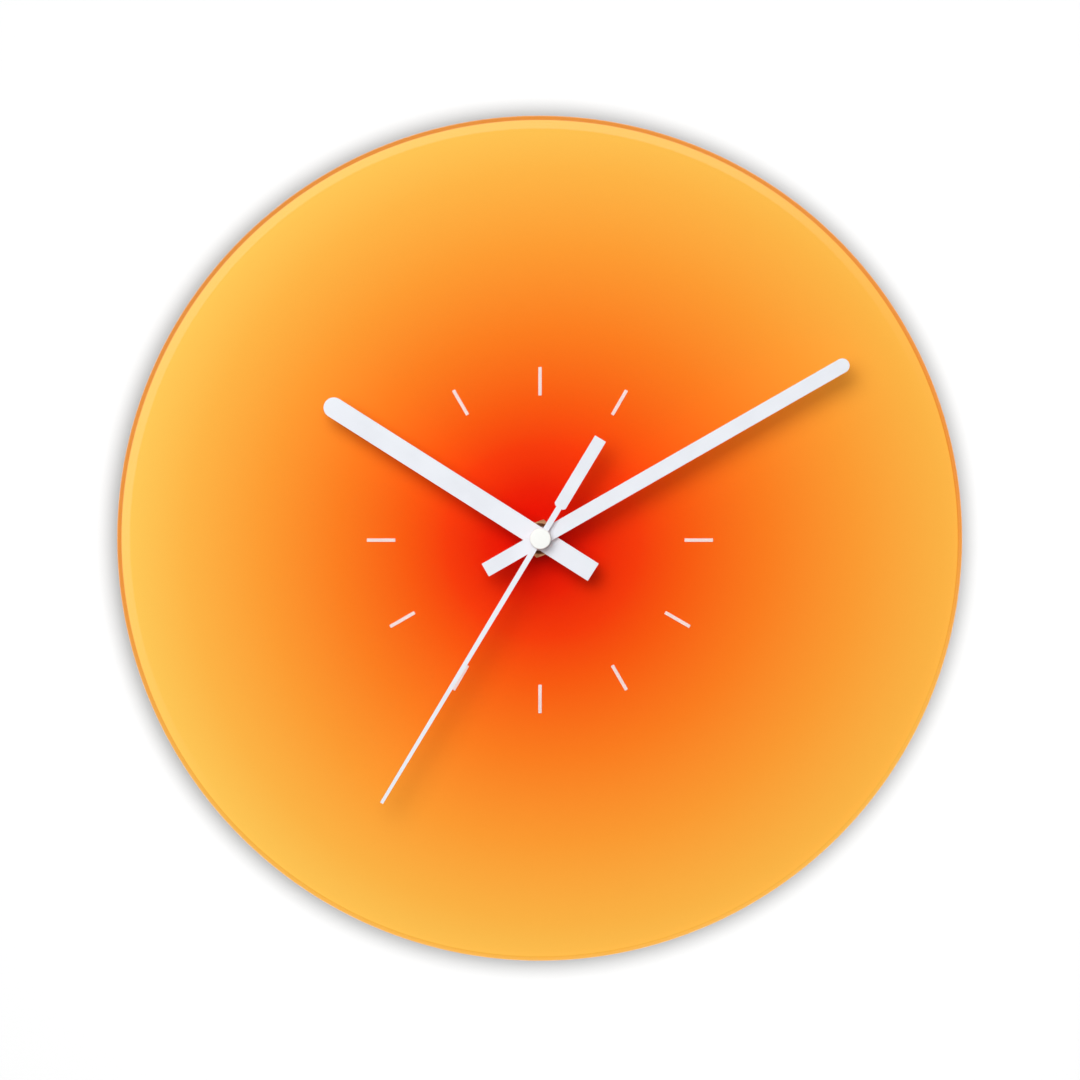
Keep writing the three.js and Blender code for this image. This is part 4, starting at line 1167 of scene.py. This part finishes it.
batteryValues = {
    "canRadius": 6.7 * mm,
    "canRound": 0.22 * mm,
    "baseRadius": 5.4 * mm,
    "baseFoot": 5.7 * mm,
    "groove": (3.4 * mm, 3.6 * mm),     # round the plus end's nub
    "step": 0.25 * mm,
    "nubRadius": 2.75 * mm,
    "nubLength": 1.0 * mm,
    "sleeveRadius": 7 * mm,
    "sleeveInner": 6.8 * mm,
    "sleeveRound": 0.4 * mm,
    "crimp": 0.45 * mm,
    "crimpOut": 0.05 * mm,
    "crimpIn": 0.1 * mm,
    "roundSteps": 4,
    "steps": 96,
}


def turnedAlongX(profile, closed):
    # a piece turned about the cell's axis, from radius and x pairs
    centre = middle("battery_cell")
    bm = turned(profile, batteryValues["steps"], closed)
    bmesh.ops.transform(bm, matrix=Matrix.Rotation(math.radians(90), 4, "Z"), verts=bm.verts)
    bmesh.ops.translate(bm, verts=bm.verts, vec=(0, centre.y, centre.z))
    return bm


def makeCell():
    values = batteryValues
    low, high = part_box("battery_cell")
    shoulder = high.x - values["nubLength"]
    can, nub, step = values["canRadius"], values["nubRadius"], values["step"]
    grooveInner, grooveOuter = values["groove"]
    profile = roundedProfile([
        (0, low.x, False),
        (values["baseRadius"], low.x, False),
        (values["baseFoot"], low.x + step, False),
        (can, low.x + step, True),
        (can, shoulder, True),
        (grooveOuter, shoulder, False),
        (grooveInner, shoulder - step, False),
        (nub, shoulder - step, False),
        (nub, high.x, True),
        (0, high.x, False),
    ], values["canRound"], values["roundSteps"])
    bm = turnedAlongX(profile, False)
    finishPiece("batteryCell", bm, [nickel], "clock_body", ["battery_cell"])


def makeCellSleeve():
    values = batteryValues
    low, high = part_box("battery_sleeve")
    outer, inner = values["sleeveRadius"], values["sleeveInner"]
    mouth, out, lip = inner - values["crimp"], values["crimpOut"], values["crimpIn"]
    profile = roundedProfile([
        (mouth, low.x - out, False),
        (outer, low.x, True),
        (outer, high.x, True),
        (mouth, high.x + out, False),
        (mouth, high.x, False),
        (inner, high.x - lip, False),
        (inner, low.x + lip, False),
        (mouth, low.x, False),
    ], values["sleeveRound"], values["roundSteps"])
    bm = turnedAlongX(profile, True)
    finishPiece("batterySleeve", bm, [sleevePrint], "clock_body", ["battery_sleeve"])


makeCell()
makeCellSleeve()
print("battery made")


# CAD nodes that stay get their finishes

nodeFinishes = {
    whitePlastic: [
        "middle_plate", "train_plate", "hour_wheel", "centre_wheel", "minute_wheel", "setting_stem",
        "third_wheel", "second_wheel", "intermediate_wheel", "rotor_pinion"],
    nutBrass: ["minute_arbor"],
    nickel: [
        "clutch_washer", "stator", "coil_core", "contact_positive", "contact_negative",
        "quartz_crystal"],
    ferrite: ["rotor_magnet"],
    greyPlastic: ["coil_bobbin"],
    winding: ["coil_winding"],
    boardMask: ["circuit_board"],
    blackPlastic: ["driver_chip"],
}
for material, nodes in nodeFinishes.items():
    for node in nodes:
        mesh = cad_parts[node].data
        mesh.materials.clear()
        mesh.materials.append(material)
print("works finished")


# Backdrop, light and camera

wallValues = {
    "gap": 0.4 * mm,
    "half": 4.0,
    "foot": -1.2,
    "albedo": 0.35,
}


def makeBackdrop():
    # a flat wall. It is seen from the front only and lets light through.
    values = wallValues
    half, foot, y = values["half"], values["foot"], values["gap"]
    bm = bmesh.new()
    corners = ((-half, y, half), (half, y, half), (half, y, foot), (-half, y, foot))
    bm.faces.new([bm.verts.new(corner) for corner in corners])
    wall = meshObject("backdrop", bm)
    if wall.data.polygons[0].normal.y > 0:
        wall.data.flip_normals()
    finish = newFinish("backdropWhite")
    paint = finish.node("ShaderNodeBsdfDiffuse", None, {"Color": (values["albedo"],) * 3 + (1,)})
    clear = finish.node("ShaderNodeBsdfTransparent")
    seen = finish.ray("Camera").most(finish.ray("Glossy")).most(finish.ray("Transmission"))
    front = 1 - finish.node("ShaderNodeNewGeometry", out="Backfacing")
    shown = finish.node("ShaderNodeMixShader", None, {0: seen * front, 1: clear, 2: paint})
    wall.data.materials.append(finish.end(shown))
    return wall


worldValues = {
    "ambient": 0.22,
    "darkFront": 0.01,      # what the flat glass mirrors towards the camera
    "studio": 0.6,
    "band": 1.7,            # soft light beside the camera, which only the glass's bevel mirrors
    "bandSide": (-0.5, 0.87),
    "bandTurn": (-0.35, 0.7),
    "bandRise": (0.09, 0.17),
    "bandFall": (0.3, 0.5),
    "studioRise": (0.25, 0.7),
    "leastOff": 0.01,
}


def makeWorld():
    # off is how far a direction turns away from Y, as a sine
    values = worldValues
    finish = Finish(bpy.context.scene.world or bpy.data.worlds.new("studio"), "ShaderNodeOutputWorld")
    bpy.context.scene.world = finish.owner
    x, y, z = finish.place("Generated")
    off = (x * x + z * z) ** 0.5
    ahead = y < 0
    toX, toZ = values["bandSide"]
    side = (x * toX + z * toZ) / off.most(values["leastOff"])
    band = off.step(*values["bandRise"]) * (1 - off.step(*values["bandFall"]))
    band = band * side.step(*values["bandTurn"]) * values["band"]
    room = off.step(*values["studioRise"]) * (values["studio"] - values["darkFront"]) + values["darkFront"]
    mirrored = (room + band) * ahead + (1 - ahead) * values["studio"]
    glossy = finish.ray("Glossy")
    seen = finish.ray("Camera").most(finish.ray("Transmission"))
    level = glossy * mirrored + (1 - glossy) * values["ambient"]
    level = seen + (1 - seen) * level
    background = finish.node("ShaderNodeBackground", None, {"Color": (1, 1, 1, 1), "Strength": level})
    finish.end(background)


lampValues = {
    # place and radius in metres. The level is what a white card shows that faces -Y or +Y.
    "frontSoft": {"place": (-0.65, -2.6, 0.85), "radius": 1.3, "level": 0.68, "wall": False, "glossy": False},
    "wallSoft": {"place": (0.02, -1.55, 0.02), "radius": 0.57, "level": 2.77, "wall": True, "glossy": False},
    "keySoft": {"place": (-0.56, -2.0, 0.72), "radius": 0.45, "level": 0.14, "wall": False, "glossy": False},
    "backLeft": {"place": (-0.9, 1.3, 0.8), "radius": 0.6, "level": 0.6, "wall": False, "glossy": True},
    "backRight": {"place": (1.1, 1.2, 0.1), "radius": 0.6, "level": 0.25, "wall": False, "glossy": True},
}


def makeLamps(wall):
    for name, values in lampValues.items():
        light = bpy.data.lights.new(name, "AREA")
        light.shape = "DISK"
        light.size = 2 * values["radius"]
        lamp = bpy.data.objects.new(name, light)
        lamp.location = values["place"]
        away = lamp.location.length
        slant = abs(lamp.location.y) / away
        light.energy = values["level"] * math.pi ** 2 * (away ** 2 + values["radius"] ** 2) / slant
        lamp.rotation_euler = (-lamp.location).to_track_quat("-Z", "Y").to_euler()
        lamp.visible_camera = False
        lamp.visible_glossy = values["glossy"]
        bpy.context.collection.objects.link(lamp)
        lights = bpy.data.collections.new(name + "Lights")
        lights.objects.link(wall)
        lamp.light_linking.receiver_collection = lights
        lights.collection_objects[0].light_linking.link_state = "INCLUDE" if values["wall"] else "EXCLUDE"


cameraValues = {
    "distance": 1.9,
    "left": 0.6,            # degrees off the dial's own axis
    "up": 0.5,
    "frame": 1080,          # pixels across the photograph's frame
    "dialRadius": 423.1,    # and the dial in it
    "dialCentre": (540.07, 538.5),
    "sensor": 36,
    "clip": (0.05, 50),
}


def makeCamera():
    values = cameraValues
    scale = dialRadius / values["dialRadius"]
    half = values["frame"] / 2
    aim = Vector((
        (half - values["dialCentre"][0]) * scale, dialFront, (values["dialCentre"][1] - half) * scale))
    across, up = math.radians(values["left"]), math.radians(values["up"])
    back = Vector((-math.sin(across) * math.cos(up), -math.cos(across) * math.cos(up), math.sin(up)))
    data = bpy.data.cameras.new("camera")
    data.sensor_width = values["sensor"]
    data.lens = values["sensor"] / 2 * values["distance"] / (half * scale)
    data.clip_start, data.clip_end = values["clip"]
    camera = bpy.data.objects.new("camera", data)
    camera.location = aim + back * values["distance"]
    camera.rotation_euler = (-back).to_track_quat("-Z", "Y").to_euler()
    bpy.context.collection.objects.link(camera)
    bpy.context.scene.camera = camera


backdrop = makeBackdrop()
makeWorld()
makeLamps(backdrop)
makeCamera()
bpy.context.scene.view_settings.view_transform = "Standard"
print("stage made")
